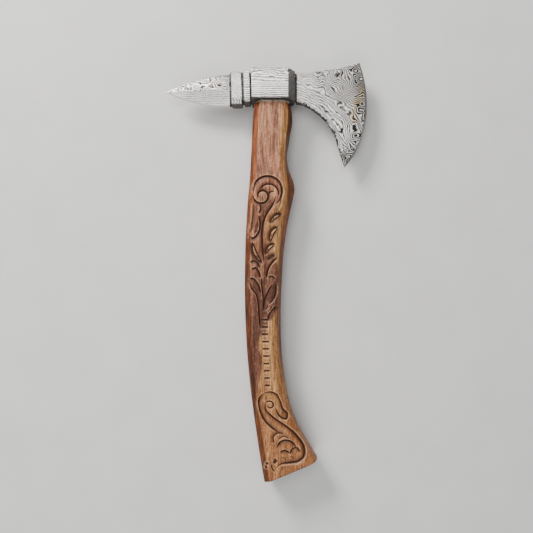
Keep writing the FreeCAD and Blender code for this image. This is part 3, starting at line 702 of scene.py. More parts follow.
# Depth below the shoulder, back and front edge along X, thickness, and how far behind the front edge
# the steep side and the long facet begin.
STATIONS = np.array([
    (0.0, -17.2, 18.6, 26.0, 3.1, 8.4),
    (6.0, -17.9, 20.2, 26.8, 3.8, 9.6),
    (16.0, -18.7, 21.1, 27.3, 4.5, 10.3),
    (37.0, -19.8, 18.0, 27.0, 3.2, 8.8),
    (56.0, -20.8, 15.7, 27.0, 1.7, 8.0),
    (67.0, -21.4, 17.9, 27.4, 3.2, 9.4),
    (79.0, -22.2, 22.2, 27.9, 6.2, 13.0),
    (86.0, -22.8, 23.4, 28.0, 7.0, 14.2),
    (94.0, -23.6, 22.2, 28.0, 6.3, 13.4),
    (121.0, -25.4, 16.3, 27.5, 5.0, 10.4),
    (149.0, -26.6, 12.4, 27.0, 4.2, 8.6),
    (177.0, -27.0, 10.6, 26.5, 4.0, 8.0),
    (221.0, -26.3, 9.3, 26.5, 3.6, 7.4),
    (250.0, -24.7, 10.3, 26.8, 3.6, 8.2),
    (278.0, -22.2, 13.8, 27.1, 3.6, 9.2),
    (306.0, -18.9, 19.6, 27.9, 3.0, 9.2),
    (321.0, -16.8, 25.4, 28.6, 2.8, 9.0),
    (359.0, -11.0, 47.0, 30.0, 2.4, 9.0),
    (381.5, -7.2, 61.5, 30.4, 2.4, 9.0),
])
HANDLE_FOOT = STATIONS[-1, 0]
# Where the rows begin to slant, how far they rise to the right at the butt, and where the painted shade on
# the steep right side ends.
SLANT_START = 300
BUTT_RISE = 22.4
FLANK_END = (300, 230)
LEFT_BEVEL = 5.5
FACET_DROP = 3.0
STEEP_DROP = 9.5
CORNER_ROUND = 1.0
BUTT_CROWN = 1.3
TENON_GAP = 0.08

# The number of points along each side of the section, and how far it counts as a bevel and as the steep
# side in painted shade. The sides are the left bevel, front, facet, steep side, right side, steep side,
# facet, back, left bevel and left side.
SIDES = [
    (5, 1, 0), (88, 0, 0), (9, 0, 0), (7, 0, 1), (5, 0, 1),
    (6, 0, 1), (6, 0, 0), (50, 0, 0), (4, 1, 0), (7, 0.6, 0),
]


def station(row):
    """Back, front, thickness and both facet starts of the handle at a depth below the shoulder."""
    return [smooth_between(STATIONS[:, 0], column, np.array([row]))[0] for column in STATIONS.T[1:]]


def handle_loop(left, right, thick, steep, facet):
    """One loop round the handle: its points, their outward directions and their bevel and flank marks."""
    half = thick / 2
    front = [
        (left, half - LEFT_BEVEL),
        (left + LEFT_BEVEL, half),
        (right - facet, half),
        (right - steep, half - FACET_DROP),
        (right, half - STEEP_DROP),
    ]
    corners = np.array(front + [(x, -z) for x, z in front[::-1]])
    count = len(corners)
    points, normals, marks = [], [], []
    for i, (number, *mark) in enumerate(SIDES):
        here, following, after = corners[i], corners[(i + 1) % count], corners[(i + 2) % count]
        near, far = following - here, after - following
        trims = [unit(side) * min(CORNER_ROUND, np.linalg.norm(side) * 0.3) for side in (near, far)]
        shares = np.linspace(0, 1, number)[:, None]
        points.append(here + trims[0] + shares * (near - 2 * trims[0]))
        out, out_next = turned(unit(near)), turned(unit(far))
        normals.append(np.tile(out, (number, 1)))
        marks.append(np.tile(mark, (number, 1)))
        points.append([following + (trims[1] - trims[0]) / 4])
        normals.append([unit(out + out_next)])
        marks.append([np.array(mark) / 2 + np.array(SIDES[(i + 1) % count][1:]) / 2])
    return np.concatenate(points), np.concatenate(normals), np.concatenate(marks)


def handle_rows():
    """Depths below the shoulder at which the handle has a row of points: closer where it is carved."""
    foot = HANDLE_FOOT - BUTT_CROWN
    rows = [0.0]
    for stop, step in ((70, 1.6), (224, 0.65), (288, 0.95), (374, 0.72), (foot, 1.2)):
        count = round((stop - rows[-1]) / step)
        rows += list(np.linspace(rows[-1], stop, count + 1)[1:])
    return rows


# ---------------------------------------------------------------- handle: carving


def smooth_stroke(points):
    """A smooth curve through given points."""
    points = np.array(points, float)
    along = distances(points)
    at = np.linspace(0, along[-1], 70)
    return np.column_stack([smooth_between(along, column, at) for column in points.T])


def spiral(centre, start_radius, end_radius, start, sweep):
    """A spiral round a centre, from one radius to another, with angles in degrees."""
    shares = np.linspace(0, 1, 90)
    angles = np.radians(start + sweep * shares)
    radii = start_radius + (end_radius - start_radius) * shares**0.8
    return np.column_stack([centre[0] + radii * np.cos(angles), centre[1] - radii * np.sin(angles)])


def bow(start, end, bulge):
    """A round arc from start to end that bulges to its left by a share of its length."""
    start, end = np.array(start, float), np.array(end, float)
    along = end - start
    shares = np.linspace(0, 1, 50)[:, None]
    return start + along * shares - turned(along) * bulge * 4 * shares * (1 - shares)


LEAF_SCOOP = 0.7


def leaf(base, tip, bulge):
    """A gouged leaf: bowed cuts that meet at the tip, and a vein between them."""
    base, tip = np.array(base, float), np.array(tip, float)
    along = tip - base
    side = 1 if bulge > 0 else -1
    return [
        (bow(base + along * 0.3, tip, bulge * 1.9), 1.1, 0.7, -side, LEAF_SCOOP * 0.5),
        (bow(base, tip, bulge), 1.5, 1.15, -side, LEAF_SCOOP),
        (bow(base, tip, bulge * 0.15), 1.3, 0.9, side, LEAF_SCOOP * 0.6),
        (bow(base + along * 0.25, base + along * 0.82, bulge * 0.55), 0.9, 0.55, 0, 0),
    ]


HATCHED_LEFT = [(0.6, 182.5), (-3.6, 190.0), (-7.0, 199.0), (-7.8, 208.0)]
HATCHED_RIGHT = [(4.4, 181.0), (5.2, 189.0), (2.4, 197.0), (-2.6, 202.0)]


def hatching(left, right):
    """Fine crossed cuts between the two sides of the broad leaf."""
    left, right = smooth_stroke(left), smooth_stroke(right)
    down = [(bow(left[k], right[k + 9], 0.04), 0.6, 0.5, 0, 0) for k in range(6, 52, 7)]
    up = [(bow(left[k + 9], right[k], -0.04), 0.6, 0.4, 0, 0) for k in range(9, 44, 7)]
    return down + up


# The carved cuts: the shape of each, in X and depth below the shoulder, then its width, its depth, the
# side that is scooped away and the depth of the scoop. They make two scrolls joined by a stem with leaves.
SPIRAL_CUTS = [
    (((-4.2, 89.0), 15.6, 14.2, -55, 245), (1.7, 1.3, -1, 0.5)),
    (((-9.6, 94.0), 9.2, 3.6, 176, 400), (1.7, 1.3, 1, 0.5)),
    (((-3.0, 92.0), 10.2, 9.4, -12, 172), (1.5, 1.15, 1, 0.5)),
    (((-1.6, 303.0), 4.8, 2.0, 150, -320), (1.4, 1.0, 0, 0)),
]
BOW_CUTS = [
    (((-16.6, 130.5), (-14.0, 115.5), -0.1), (1.0, 0.6, 0, 0)),
    (((-18.0, 183.0), (-13.2, 194.0), 0.05), (1.0, 0.6, 0, 0)),
    (((0.4, 204.2), (-3.6, 209.6), 0.1), (1.1, 0.7, 0, 0)),
    (((-3.4, 203.0), (-6.4, 208.0), 0.1), (1.1, 0.7, 0, 0)),
    (((10.8, 354.0), (14.0, 357.4), 0.1), (1.1, 0.7, 0, 0)),
    (((19.2, 353.6), (22.4, 356.4), 0.1), (1.1, 0.7, 0, 0)),
    (((0.4, 361.4), (3.0, 368.4), -0.15), (1.3, 0.9, 0, 0)),
]
SMOOTH_CUTS = [
    # upper scroll
    ([(-3.4, 93.0), (-0.8, 90.2), (2.6, 89.6)], (1.4, 1.0, -1, 0.4)),
    ([(10.6, 92.0), (9.0, 102.0), (3.2, 112.5)], (1.0, 0.55, 1, 0.3)),
    # stem
    ([(4.2, 95.0), (1.4, 102.5), (-5.0, 112.5), (-8.6, 123.0), (-9.2, 141.0), (-7.6, 160.0)],
     (1.7, 1.2, 1, 0.6)),
    ([(6.0, 156.0), (0.4, 161.0), (-3.4, 167.5), (-5.0, 176.0)], (1.6, 1.2, 1, 0.5)),
    ([(-10.2, 176.0), (-9.4, 186.0), (-8.2, 196.0), (-8.0, 209.0)], (1.4, 0.9, -1, 0.4)),
    # left side below the scroll
    ([(-11.6, 102.0), (-11.0, 108.0), (-12.6, 111.5)], (1.4, 1.1, -1, 0.5)),
    ([(-18.6, 101.0), (-18.8, 114.0), (-20.4, 124.0), (-22.0, 131.0)], (1.4, 1.0, -1, 0.6)),
    ([(-22.6, 134.4), (-18.6, 136.2), (-13.8, 132.0), (-11.2, 123.0), (-12.8, 114.0)], (1.7, 1.3, 1, 0.7)),
    # little arcs on the left, one above another
    ([(-21.6, 160.4), (-17.8, 159.0), (-14.0, 161.0), (-11.8, 166.0)], (1.5, 1.15, 1, 0.6)),
    ([(-19.8, 167.4), (-16.2, 166.0), (-12.8, 169.4), (-11.2, 176.0)], (1.5, 1.2, 1, 0.6)),
    ([(-22.4, 176.6), (-18.4, 176.8), (-14.2, 181.0), (-10.6, 191.0)], (1.5, 1.2, 1, 0.6)),
    ([(-22.2, 180.4), (-19.6, 187.0), (-15.4, 192.4), (-13.4, 200.0), (-12.4, 213.0), (-11.2, 227.0)],
     (1.4, 1.1, -1, 0.5)),
    # right side at the foot of the stem
    ([(-3.2, 175.4), (0.6, 174.2), (4.0, 177.0)], (1.4, 1.0, 1, 0.5)),
    (HATCHED_LEFT, (1.5, 1.1, -1, 0.5)),
    (HATCHED_RIGHT, (1.4, 1.0, 1, 0.5)),
    ([(4.8, 204.0), (0.4, 208.4), (-2.6, 213.0), (-3.6, 219.0)], (1.5, 1.1, -1, 0.6)),
    # lower scroll
    ([(-7.4, 291.0), (-1.0, 289.8), (5.0, 292.4), (8.4, 298.0), (11.6, 306.4), (16.4, 312.6), (15.2, 316.4),
      (10.8, 315.8), (6.4, 311.6), (4.2, 306.0)], (1.5, 1.1, 1, 0.4)),
    ([(-7.4, 291.0), (-11.6, 295.0), (-12.8, 301.0), (-11.2, 309.0), (-6.8, 318.0), (0.4, 325.4),
      (8.6, 330.4)], (1.6, 1.1, -1, 0.5)),
    ([(-6.0, 300.6), (-6.2, 306.4), (-2.2, 311.6), (5.0, 317.4), (14.0, 323.4), (22.4, 330.0),
      (28.4, 337.0), (32.8, 344.4), (32.8, 353.0), (27.0, 358.2), (17.0, 360.2), (9.6, 361.4),
      (5.2, 364.6)], (1.7, 1.2, 1, 0.5)),
    ([(2.6, 340.6), (1.8, 334.6), (5.6, 331.0), (12.8, 331.2)], (1.3, 0.9, -1, 0.4)),
    ([(5.6, 344.6), (8.8, 339.4), (15.0, 337.6), (21.0, 339.8), (24.6, 344.4)], (1.6, 1.2, 1, 0.6)),
    ([(7.0, 336.8), (12.6, 333.8), (17.6, 336.0)], (1.2, 0.8, -1, 0.3)),
    ([(8.6, 349.6), (13.0, 347.8), (18.2, 350.4)], (1.5, 1.1, 1, 0.5)),
    ([(18.6, 351.4), (20.2, 346.6), (25.0, 345.0), (29.2, 349.4)], (1.3, 1.0, 1, 0.5)),
]
# Base, tip and bulge of the leaves.
LEAVES = [
    ((-1.4, 121.6), (10.6, 112.4), 0.22),
    ((-1.2, 140.6), (7.0, 124.8), 0.24),
    ((-5.8, 152.8), (3.6, 142.0), 0.24),
    ((-3.4, 158.6), (4.0, 153.4), 0.20),
    ((-9.0, 161.4), (-19.0, 140.2), 0.17),
]


def carved_strokes():
    """Every carved cut as (curve, width, depth, side that is scooped away, depth of the scoop)."""
    strokes = [(spiral(*shape), *cut) for shape, cut in SPIRAL_CUTS]
    strokes += [(bow(*shape), *cut) for shape, cut in BOW_CUTS]
    strokes += [(smooth_stroke(points), *cut) for points, cut in SMOOTH_CUTS]
    for shape in LEAVES:
        strokes += leaf(*shape)
    strokes += hatching(HATCHED_LEFT, HATCHED_RIGHT)
    return [(evenly(curve, STROKE_STEP), *cut) for curve, *cut in strokes]


STROKE_STEP = 0.3
STROKE_WIDEN = 1.5
STROKE_DEEPEN = 1.45
SCOOP_REACH = 5.6
SCOOP_DEEPEN = 2.2


def carving_depth(x, depth):
    """Depth of the cuts and of the scoops beside them, at places given by X and depth below the
    shoulder."""
    carved, scoops = np.zeros_like(x), np.zeros_like(x)
    for curve, width, deep, side, scoop in STROKES:
        low, high = curve.min(axis=0) - SCOOP_REACH, curve.max(axis=0) + SCOOP_REACH
        near = (x > low[0]) & (x < high[0]) & (depth > low[1]) & (depth < high[1])
        if not near.any():
            continue
        rows = np.arange(near.sum())
        offsets = np.stack([x[near], depth[near]], axis=1)[:, None] - curve[None]
        squared = (offsets**2).sum(axis=2)
        closest = squared.argmin(axis=1)
        distance = np.sqrt(squared[rows, closest])
        tangent, offset = np.gradient(curve, axis=0)[closest], offsets[rows, closest]
        cross = tangent[:, 0] * offset[:, 1] - tangent[:, 1] * offset[:, 0]
        share = closest / (len(curve) - 1)
        taper = np.clip(np.minimum(share, 1 - share) * 7, 0, 1) ** 0.6
        half = width * STROKE_WIDEN / 2 * (0.6 + 0.4 * taper)
        bowl = np.clip(1 - (distance / half) ** 2, 0, 1) ** 1.5
        groove = deep * STROKE_DEEPEN * (0.3 + 0.7 * taper) * bowl
        carved[near] = np.maximum(carved[near], groove)
        if side:
            slope = scoop * SCOOP_DEEPEN * taper * np.clip(1 - distance / SCOOP_REACH, 0, 1) ** 1.4
            scoops[near] = np.maximum(scoops[near], slope * (np.sign(cross) == side))
    return carved, scoops


# Grounds that are punched down between the leaves: outlines in X and depth below the shoulder.
GROUNDS = [
    [(-3.4, 98.0), (1.8, 95.0), (2.0, 100.0), (-3.0, 109.0), (-8.0, 118.5), (-9.6, 112.0), (-8.2, 102.5)],
    [(-2.4, 188.5), (3.6, 182.0), (4.2, 189.0), (1.8, 196.5), (-2.8, 201.0), (-5.4, 199.6)],
    [(-13.2, 116.0), (-11.6, 124.0), (-14.0, 131.0), (-17.6, 133.4), (-17.0, 124.0)],
    [(-8.6, 298.0), (-9.6, 304.0), (-6.8, 312.0), (1.6, 321.0), (7.4, 325.6), (-0.6, 316.4), (-6.6, 308.0)],
]


def ground_depth(x, depth):
    """How far inside a punched ground a place is, from 0 to 1."""
    inside = np.zeros_like(x)
    for outline in GROUNDS:
        outline = np.array(outline)
        middle = outline.mean(axis=0)
        away = np.hypot(x - middle[0], depth - middle[1])
        if away.min() > 20:
            continue
        turns = np.zeros_like(x, dtype=bool)
        nearest = np.full_like(x, 99.0)
        for start, end in zip(outline, np.roll(outline, -1, axis=0)):
            crosses = (start[1] > depth) != (end[1] > depth)
            rise = end[1] - start[1] or 1e-9
            turns ^= crosses & (x < (end[0] - start[0]) * (depth - start[1]) / rise + start[0])
            along = end - start
            share = ((x - start[0]) * along[0] + (depth - start[1]) * along[1]) / along.dot(along)
            share = np.clip(share, 0, 1)
            gap = np.hypot(x - start[0] - along[0] * share, depth - start[1] - along[1] * share)
            nearest = np.minimum(nearest, gap)
        inside = np.maximum(inside, turns * smooth_step(0, 1.1, nearest))
    return inside


LADDER_CUTS = 10
LADDER_DEEP = 1.3
LADDER_TOP = np.array([-7.0, 217.4])
LADDER_FOOT = np.array([-3.9, 283.0])


def ladder_depth(x, depth):
    """The row of short chisel cuts between the two scrolls."""
    carved = np.zeros_like(x)
    for i in range(LADDER_CUTS):
        share = i / (LADDER_CUTS - 1)
        middle_x, middle = LADDER_TOP + (LADDER_FOOT - LADDER_TOP) * share
        half_wide = 3.4 - 0.9 * share
        inside = smooth_step(half_wide + 0.5, half_wide - 0.3, np.abs(x - middle_x))
        below = depth - middle
        notch = np.where(below < 0, 1 + below / 0.9, 1 - below / 1.9)
        carved = np.maximum(carved, LADDER_DEEP * inside * np.clip(notch * 1.2, 0, 1))
    return carved


def dark_knots(x, depth):
    """Small dark knots beside the lower scroll."""
    dark = np.zeros_like(x)
    for middle_x, middle, radius in ((3.4, 358.4, 3.2), (-4.6, 360.4, 2.1), (-5.6, 364.6, 2.3)):
        distance = np.hypot((x - middle_x) * 1.25, depth - middle) + 0.7 * lattice_noise(x, depth, 1.6, 61)
        dark = np.maximum(dark, 1 - smooth_step(radius * 0.45, radius, distance))
    return dark


# Where the sapwood begins, as depth below the shoulder and X.
SAP_BORDER = [
    (0, 11), (60, 9), (95, 9), (118, -3), (136, -6), (152, 0), (168, 9),
    (196, 12), (212, 3), (230, -8), (262, -12), (300, -16), (340, -20), (400, -24),
]


def sapwood(x, depth):
    """Share of pale sapwood on the front, from 0 to 1: it runs down the handle's front side."""
    border = smooth_between(*np.transpose(SAP_BORDER), depth)
    drift = 3.2 * lattice_noise(x, depth * 0.25, 6.0, 52) + 1.2 * lattice_noise(x, depth * 0.3, 2.5, 53)
    return smooth_step(-1.6, 1.6, x + drift - border)


# The depth at which a cut is darkened to black, and the share of sapwood on the tenon and the butt's end.
BLACK_DEEP = 1.6
END_SAP = 0.45


def make_handle(material):
    """The handle with its carving on both faces, its tenon and the kerfs for the wedges."""
    stretch = HANDLE_LONG / HANDLE_FOOT
    loops, values = [], {name: [] for name in ("carve", "shade", "sap", "bevel", "shaded_flank")}
    for row in handle_rows():
        rise = BUTT_RISE * smooth_step(SLANT_START, HANDLE_FOOT, row)
        left, right = station(row)[0], station(row - rise)[1]
        outline, normals, marks = handle_loop(left, right, *station(row - rise / 2)[2:])
        x, z = outline.T
        depth = row - rise * (x - left) / (right - left)
        facing = smooth_step(0.25, 0.75, np.abs(normals[:, 1]))
        carved, scoops = carving_depth(x, depth)
        ground = ground_depth(x, depth) * facing
        stipple = 0.5 + 0.5 * lattice_noise(x, depth, 1.3, 54)
        cut = np.maximum(carved, ladder_depth(x, depth)) * facing
        dark = dark_knots(x, depth) * facing
        sink = np.maximum(cut, scoops * facing)
        sink = np.maximum(sink, ground * (0.55 + 0.35 * stipple)) + 0.35 * dark
        wobble = 0.06 * lattice_noise(x + 5 * np.sign(z), depth, 13.0, 51)
        moved = outline - normals * (sink + wobble)[:, None]
        loops.append(np.column_stack([moved[:, 0], SHOULDER - depth * stretch, moved[:, 1] + MIDDLE]))
        values["carve"].append(np.maximum(np.clip(cut / BLACK_DEEP, 0, 1), dark))
        # Painted shade in the scoops beside the cuts and in the punched grounds.
        values["shade"].append(np.maximum(np.clip(scoops, 0, 1) * facing, ground * (1.0 - 0.6 * stipple)))
        values["sap"].append(sapwood(x, depth))
        values["bevel"].append(marks[:, 0])
        # Painted shade on the steep right side, fading out between 230 and 300 mm below the shoulder.
        values["shaded_flank"].append(marks[:, 1] * smooth_step(*FLANK_END, depth))
    values = {name: np.array(rows) for name, rows in values.items()}
    # Painted highlight with some wear on the crests, kept to where the wood beside a cut is not scooped
    # away.
    values["crest"] = worn_and_highlit_crests(values["carve"]) * smooth_step(0.3, 0.05, values["shade"])
    tenon, butt = tenon_loops(loops[0]), butt_loops(loops[-1])
    sizes = len(tenon + loops + butt), len(loops[0])
    points = np.concatenate(tenon + loops + butt)
    for name, rows in values.items():
        bare = END_SAP if name == "sap" else 0.0
        values[name] = np.pad(rows, ((len(tenon), len(butt)), (0, 0)), constant_values=bare)
    made = mesh_object("handle_carved", points, tube_faces(*sizes) + end_faces(*sizes), material)
    cut_away(made, wedge_cutters())
    spread_attributes(made, points, values)
    smooth_faces(made.data, 40)
    return made


def butt_loops(butt):
    """Shrinking loops that close the slanted butt with a rounded rim and a slight crown."""
    centre = butt.mean(axis=0)
    chord = butt[:, :2].max(axis=0) - butt[:, :2].min(axis=0)
    out = np.array([chord[1], -chord[0], 0.0]) / np.hypot(*chord)
    steps = ((0.996, 0.45), (0.986, 0.72), (0.968, 0.88), (0.9, 0.95), (0.6, 1.0), (0.25, 1.0))
    return [centre + (butt - centre) * shrink + out * rise * BUTT_CROWN for shrink, rise in steps]


def worn_and_highlit_crests(carve):
    """Where the wood stands proud beside a cut, from how the carving bends: it is paled there as wear and
    as a painted highlight.
    """
    soft = carve.copy()
    for _ in range(3):
        padded = np.pad(soft, ((1, 1), (0, 0)), mode="edge")
        soft = (padded[:-2] + padded[1:-1] * 2 + padded[2:]) / 4
        soft = (np.roll(soft, 1, axis=1) + soft * 2 + np.roll(soft, -1, axis=1)) / 4
    return np.clip((soft - carve) * 2.2, 0, 1) * (carve < 0.3)


def tenon_loops(shoulder):
    """Loops down the tenon, from its top in the eye to where it meets the shoulder."""
    angles = np.arctan2(shoulder[:, 2] - MIDDLE, shoulder[:, 0])
    sizes = (
        (EYE_TOP_HALF, TENON_GAP + 0.3, EYE_TOP - 0.02),
        (EYE_TOP_HALF, TENON_GAP, EYE_TOP - 0.3),
        (EYE_FOOT_HALF, TENON_GAP, EYE_FOOT),
        (EYE_FOOT_HALF, TENON_GAP, SHOULDER),
    )
    return [octagon_loop(angles, half[0] - gap, half[1] - gap, height) for half, gap, height in sizes]


def wedge_prism(name, top_half, tip_half, top, foot, reach, across_x, middle=0.0, material=None):
    """A wedge that thins downwards. It is thin along Z if across_x is true, else along X."""
    points = []
    for height, half in ((top, top_half), (foot, tip_half)):
        along_x, along_z = (reach, half) if across_x else (half, reach)
        for side, end in ((-1, -1), (1, -1), (1, 1), (-1, 1)):
            points.append((middle + side * along_x, height, MIDDLE + end * along_z))
    return mesh_object(name, points, tube_faces(2, 4) + end_faces(2, 4), material)


# Half thickness of the wooden wedge and the steel ones at their tips, the half length of the steel ones,
# and their places along X.
WOOD_TIP = 0.6
STEEL_TIP = 0.3
STEEL_REACH = 7.5
STEEL_MIDDLES = (-7.5, 7.5)


def split_cutters():
    """Room for the two steel wedges."""
    sizes = (1.49, STEEL_TIP, EYE_TOP + 1, STEEL_LOW[1], STEEL_REACH, False)
    return [wedge_prism("split", *sizes, middle) for middle in STEEL_MIDDLES]


def wedge_cutters():
    """Room in the tenon for the wooden wedge and the two steel ones."""
    kerf = wedge_prism("kerf", 2.58, WOOD_TIP, EYE_TOP + 1, WEDGE_LOW[1], WEDGE_HIGH[0] + 3, True)
    return [kerf] + split_cutters()


# ---------------------------------------------------------------- small pieces


def make_wedges(wood, steel):
    """The wooden wedge in its kerf and the two steel wedges driven across it."""
    sizes = (2.5, WOOD_TIP, EYE_TOP - 0.1, WEDGE_LOW[1], WEDGE_HIGH[0] - 0.05, True)
    wedge = wedge_prism("eye_wedge_wood", *sizes, material=wood)
    cut_away(wedge, split_cutters())
    soften(wedge, 0.15)
    steels = []
    sizes = (1.35, STEEL_TIP, EYE_TOP - 0.15, STEEL_LOW[1], STEEL_REACH - 0.1, False)
    for name, middle in zip(("steel_wedge_back", "steel_wedge_front"), STEEL_MIDDLES):
        made = wedge_prism(name, *sizes, middle, steel)
        soften(made, 0.25)
        steels.append(made)
    return wedge, steels


def soften(target, width):
    """Rounds the edges of a small piece."""
    bevel = target.modifiers.new("soft edges", "BEVEL")
    bevel.width = width * MM
    bevel.segments = 3
    bevel.limit_method = "ANGLE"


# How far the bead of resin stands out at shares of its height.
BEAD_PROFILE = [(-0.6, 0.0), (-0.15, 0.05), (0, 0.3), (0.05, 0.55), (-0.1, 0.8), (-0.35, 0.97), (-0.7, 1.0)]
BEAD_GAP = 0.02


def make_bedding(material):
    """The rough bead of hardened resin that was squeezed out round the tenon."""
    around = 220
    angles = np.linspace(0, 2 * math.pi, around, endpoint=False)
    lap = angles * 18
    half_wide, _, half_thick = (BEDDING_HIGH - BEDDING_LOW) / 2
    middle_x = (BEDDING_HIGH[0] + BEDDING_LOW[0]) / 2
    low, top = SHOULDER + BEAD_GAP, EYE_FOOT - BEAD_GAP
    loops = []
    for out, rise in BEAD_PROFILE:
        height = np.full(around, rise * 9)
        rough = 0.4 * lattice_noise(lap, height, 1.3, 61) + 0.35 * lattice_noise(lap, height, 4.0, 62)
        swell = out + (rough - 0.3) * (0.3 + rise * (1 - rise) * 3)
        loop = octagon_loop(angles, half_wide + swell, half_thick + swell, low + (top - low) * rise, 6.0)
        loops.append(loop + [middle_x, 0, 0])
    loops += [octagon_loop(angles, *EYE_FOOT_HALF, y) for y in (top, low)]
    faces = tube_faces(len(loops), around) + joined((len(loops) - 1) * around, 0, around)
    return mesh_object("eye_bedding_bead", np.concatenate(loops), faces, material)


# ---------------------------------------------------------------- materials


class Shader:
    """A small helper that adds nodes to one material and links them."""

    def __init__(self, name):
        self.material = bpy.data.materials.new(name)
        self.material.use_nodes = True
        self.tree = self.material.node_tree
        self.surface = self.tree.nodes["Principled BSDF"]

    def node(self, kind, inputs, **settings):
        """A new node with its settings, and its inputs by name or number."""
        made = self.tree.nodes.new(kind)
        for key, value in settings.items():
            setattr(made, key, value)
        for key, value in inputs.items():
            self.put(made.inputs[key], value)
        return made

    def put(self, socket, value):
        """Links another node's output to the socket, or sets its value."""
        if isinstance(value, bpy.types.NodeSocket):
            self.tree.links.new(value, socket)
        else:
            socket.default_value = value

    def math(self, operation, *values, clamp=False):
        """The result of an operation on numbers."""
        made = self.node("ShaderNodeMath", dict(enumerate(values)), operation=operation, use_clamp=clamp)
        return made.outputs[0]

    def times(self, first, second):
        """first * second."""
        return self.math("MULTIPLY", first, second)

    def line(self, value, slope, offset, clamp=False):
        """value * slope + offset."""
        return self.math("MULTIPLY_ADD", value, slope, offset, clamp=clamp)

    def attribute(self, name):
        """A value that was written on the vertices."""
        return self.node("ShaderNodeAttribute", {}, attribute_name=name).outputs["Fac"]

    def place(self, scale=(1, 1, 1)):
        """Object coordinates in millimetres, scaled."""
        coordinates = self.node("ShaderNodeTexCoord", {}).outputs["Object"]
        factors = [factor / MM for factor in scale]
        return self.node("ShaderNodeMapping", {"Vector": coordinates, "Scale": factors}).outputs[0]

    def noise(self, vector, scale, detail=3.0, rough=0.55, distortion=0.0):
        """Solid noise, about 0.5 on average."""
        inputs = {"Vector": vector, "Scale": scale, "Detail": detail, "Roughness": rough}
        return self.node("ShaderNodeTexNoise", {**inputs, "Distortion": distortion}).outputs["Fac"]

    def ramp(self, value, stops):
        """A colour for the value, from stops of (value, colour)."""
        made = self.node("ShaderNodeValToRGB", {0: value})
        elements = made.color_ramp.elements
        while len(elements) < len(stops):
            elements.new(0.5)
        for element, (position, colour) in zip(elements, stops):
            element.position = position
            element.color = (*colour, 1)
        return made.outputs[0]

    def mix(self, share, first, second, blend="MIX"):
        """The first colour turned to the second by a share."""
        inputs = {0: share, 6: first, 7: (*second, 1) if isinstance(second, tuple) else second}
        made = self.node("ShaderNodeMix", inputs, data_type="RGBA", blend_type=blend, clamp_factor=True)
        return made.outputs[2]

    def tinted(self, share, colour, tint):
        """The colour multiplied by a tint, by a share."""
        return self.mix(share, colour, self.mix(1.0, colour, tint, "MULTIPLY"))

    def range(self, value, low, high, to_low=0.0, to_high=1.0):
        """The value carried from one range to another and kept inside it."""
        values = (value, low, high, to_low, to_high)
        return self.node("ShaderNodeMapRange", dict(enumerate(values)), clamp=True).outputs[0]

    def finish(self, colour, rough, height=None, distance=0.0, strength=1.0):
        """Sets the surface's colour, roughness and fine relief, and gives the material."""
        self.put(self.surface.inputs["Base Color"], colour)
        self.put(self.surface.inputs["Roughness"], rough)
        if height is not None:
            relief = {"Height": height, "Distance": distance, "Strength": strength}
            self.put(self.surface.inputs["Normal"], self.node("ShaderNodeBump", relief).outputs[0])
        return self.material


# Near black: the darkest etched lines and forge scale, and painted shade.
BLACK_OXIDE_AND_SHADE = (0.020, 0.017, 0.015)


def layered_steel():
    """Etched layered steel: thin dark and bright lines follow the contour lines of the folded billet."""
    m = Shader("patterned_steel")
    place = m.place()
    ground = m.attribute("ground")
    crinkle = m.noise(place, 0.42, 4.0, 0.66)
    height = m.line(crinkle, 0.75, m.attribute("layers"))
    height = m.line(m.noise(place, 0.95, 2.0), 0.42, height)
    wave = m.math("SINE", m.times(height, 2 * math.pi))
    thin = m.math("SINE", m.times(height, 2 * math.pi * 2.3))
    both = m.line(thin, 0.25, wave)
    broken = m.range(m.noise(place, 0.7, 3.0, 0.65), 0.4, 0.6, 0.62, 1.0)
    dark_lines = m.times(m.range(both, 0.15, -1.0), broken)
    bright_lines = m.range(both, 0.2, 1.1)
    lines = m.line(bright_lines, 0.45, m.times(dark_lines, -0.80))
    patch = m.range(m.noise(place, 0.09), 0.35, 0.65, 0.6, 1.25)
    fade = m.range(m.noise(place, 0.26, 3.0, 0.6), 0.40, 0.60, 0.55, 1.25)
    shown = m.times(m.attribute("figure"), m.times(patch, fade))
    shown = m.times(shown, m.line(ground, -0.85, 1.0))
    speck = m.math("SUBTRACT", m.noise(place, 0.8, 3.0, 0.7), 0.5)
    cloud = m.math("SUBTRACT", m.noise(place, 0.11, 3.0, 0.6), 0.52)
    tone = m.line(lines, shown, m.attribute("pale"))
    tone = m.line(cloud, 0.42, m.line(speck, 0.34, tone))
    tone = m.line(ground, 0.16, tone, clamp=True)
    colour = m.ramp(tone, [
        (0.0, BLACK_OXIDE_AND_SHADE),
        (0.25, (0.125, 0.113, 0.104)),
        (0.5, (0.335, 0.320, 0.307)),
        (0.75, (0.620, 0.600, 0.580)),
        (1.0, (0.920, 0.900, 0.880)),
    ])
    colour = m.tinted(m.times(m.attribute("golden"), 0.75), colour, (0.92, 0.74, 0.47))
    stain = m.range(m.noise(place, 0.16, 4.0, 0.65), 0.54, 0.72, 0.0, 0.55)
    colour = m.tinted(stain, colour, (0.90, 0.80, 0.68))
    # Forge scale, and painted shade on the walls, facets and grooves, turn the steel towards black.
    scale = m.times(m.attribute("scale"), m.range(m.noise(place, 0.35), 0.3, 0.7, 0.82, 1.0))
    colour = m.mix(scale, colour, BLACK_OXIDE_AND_SHADE)
    grain = m.noise(place, 2.4, 2.0)
    rough = m.line(scale, 0.2, m.line(grain, 0.08, m.line(tone, -0.14, 0.50)))
    m.surface.inputs["Metallic"].default_value = 0.92
    return m.finish(colour, rough, m.line(grain, 0.25, tone), 0.0001, 0.9)
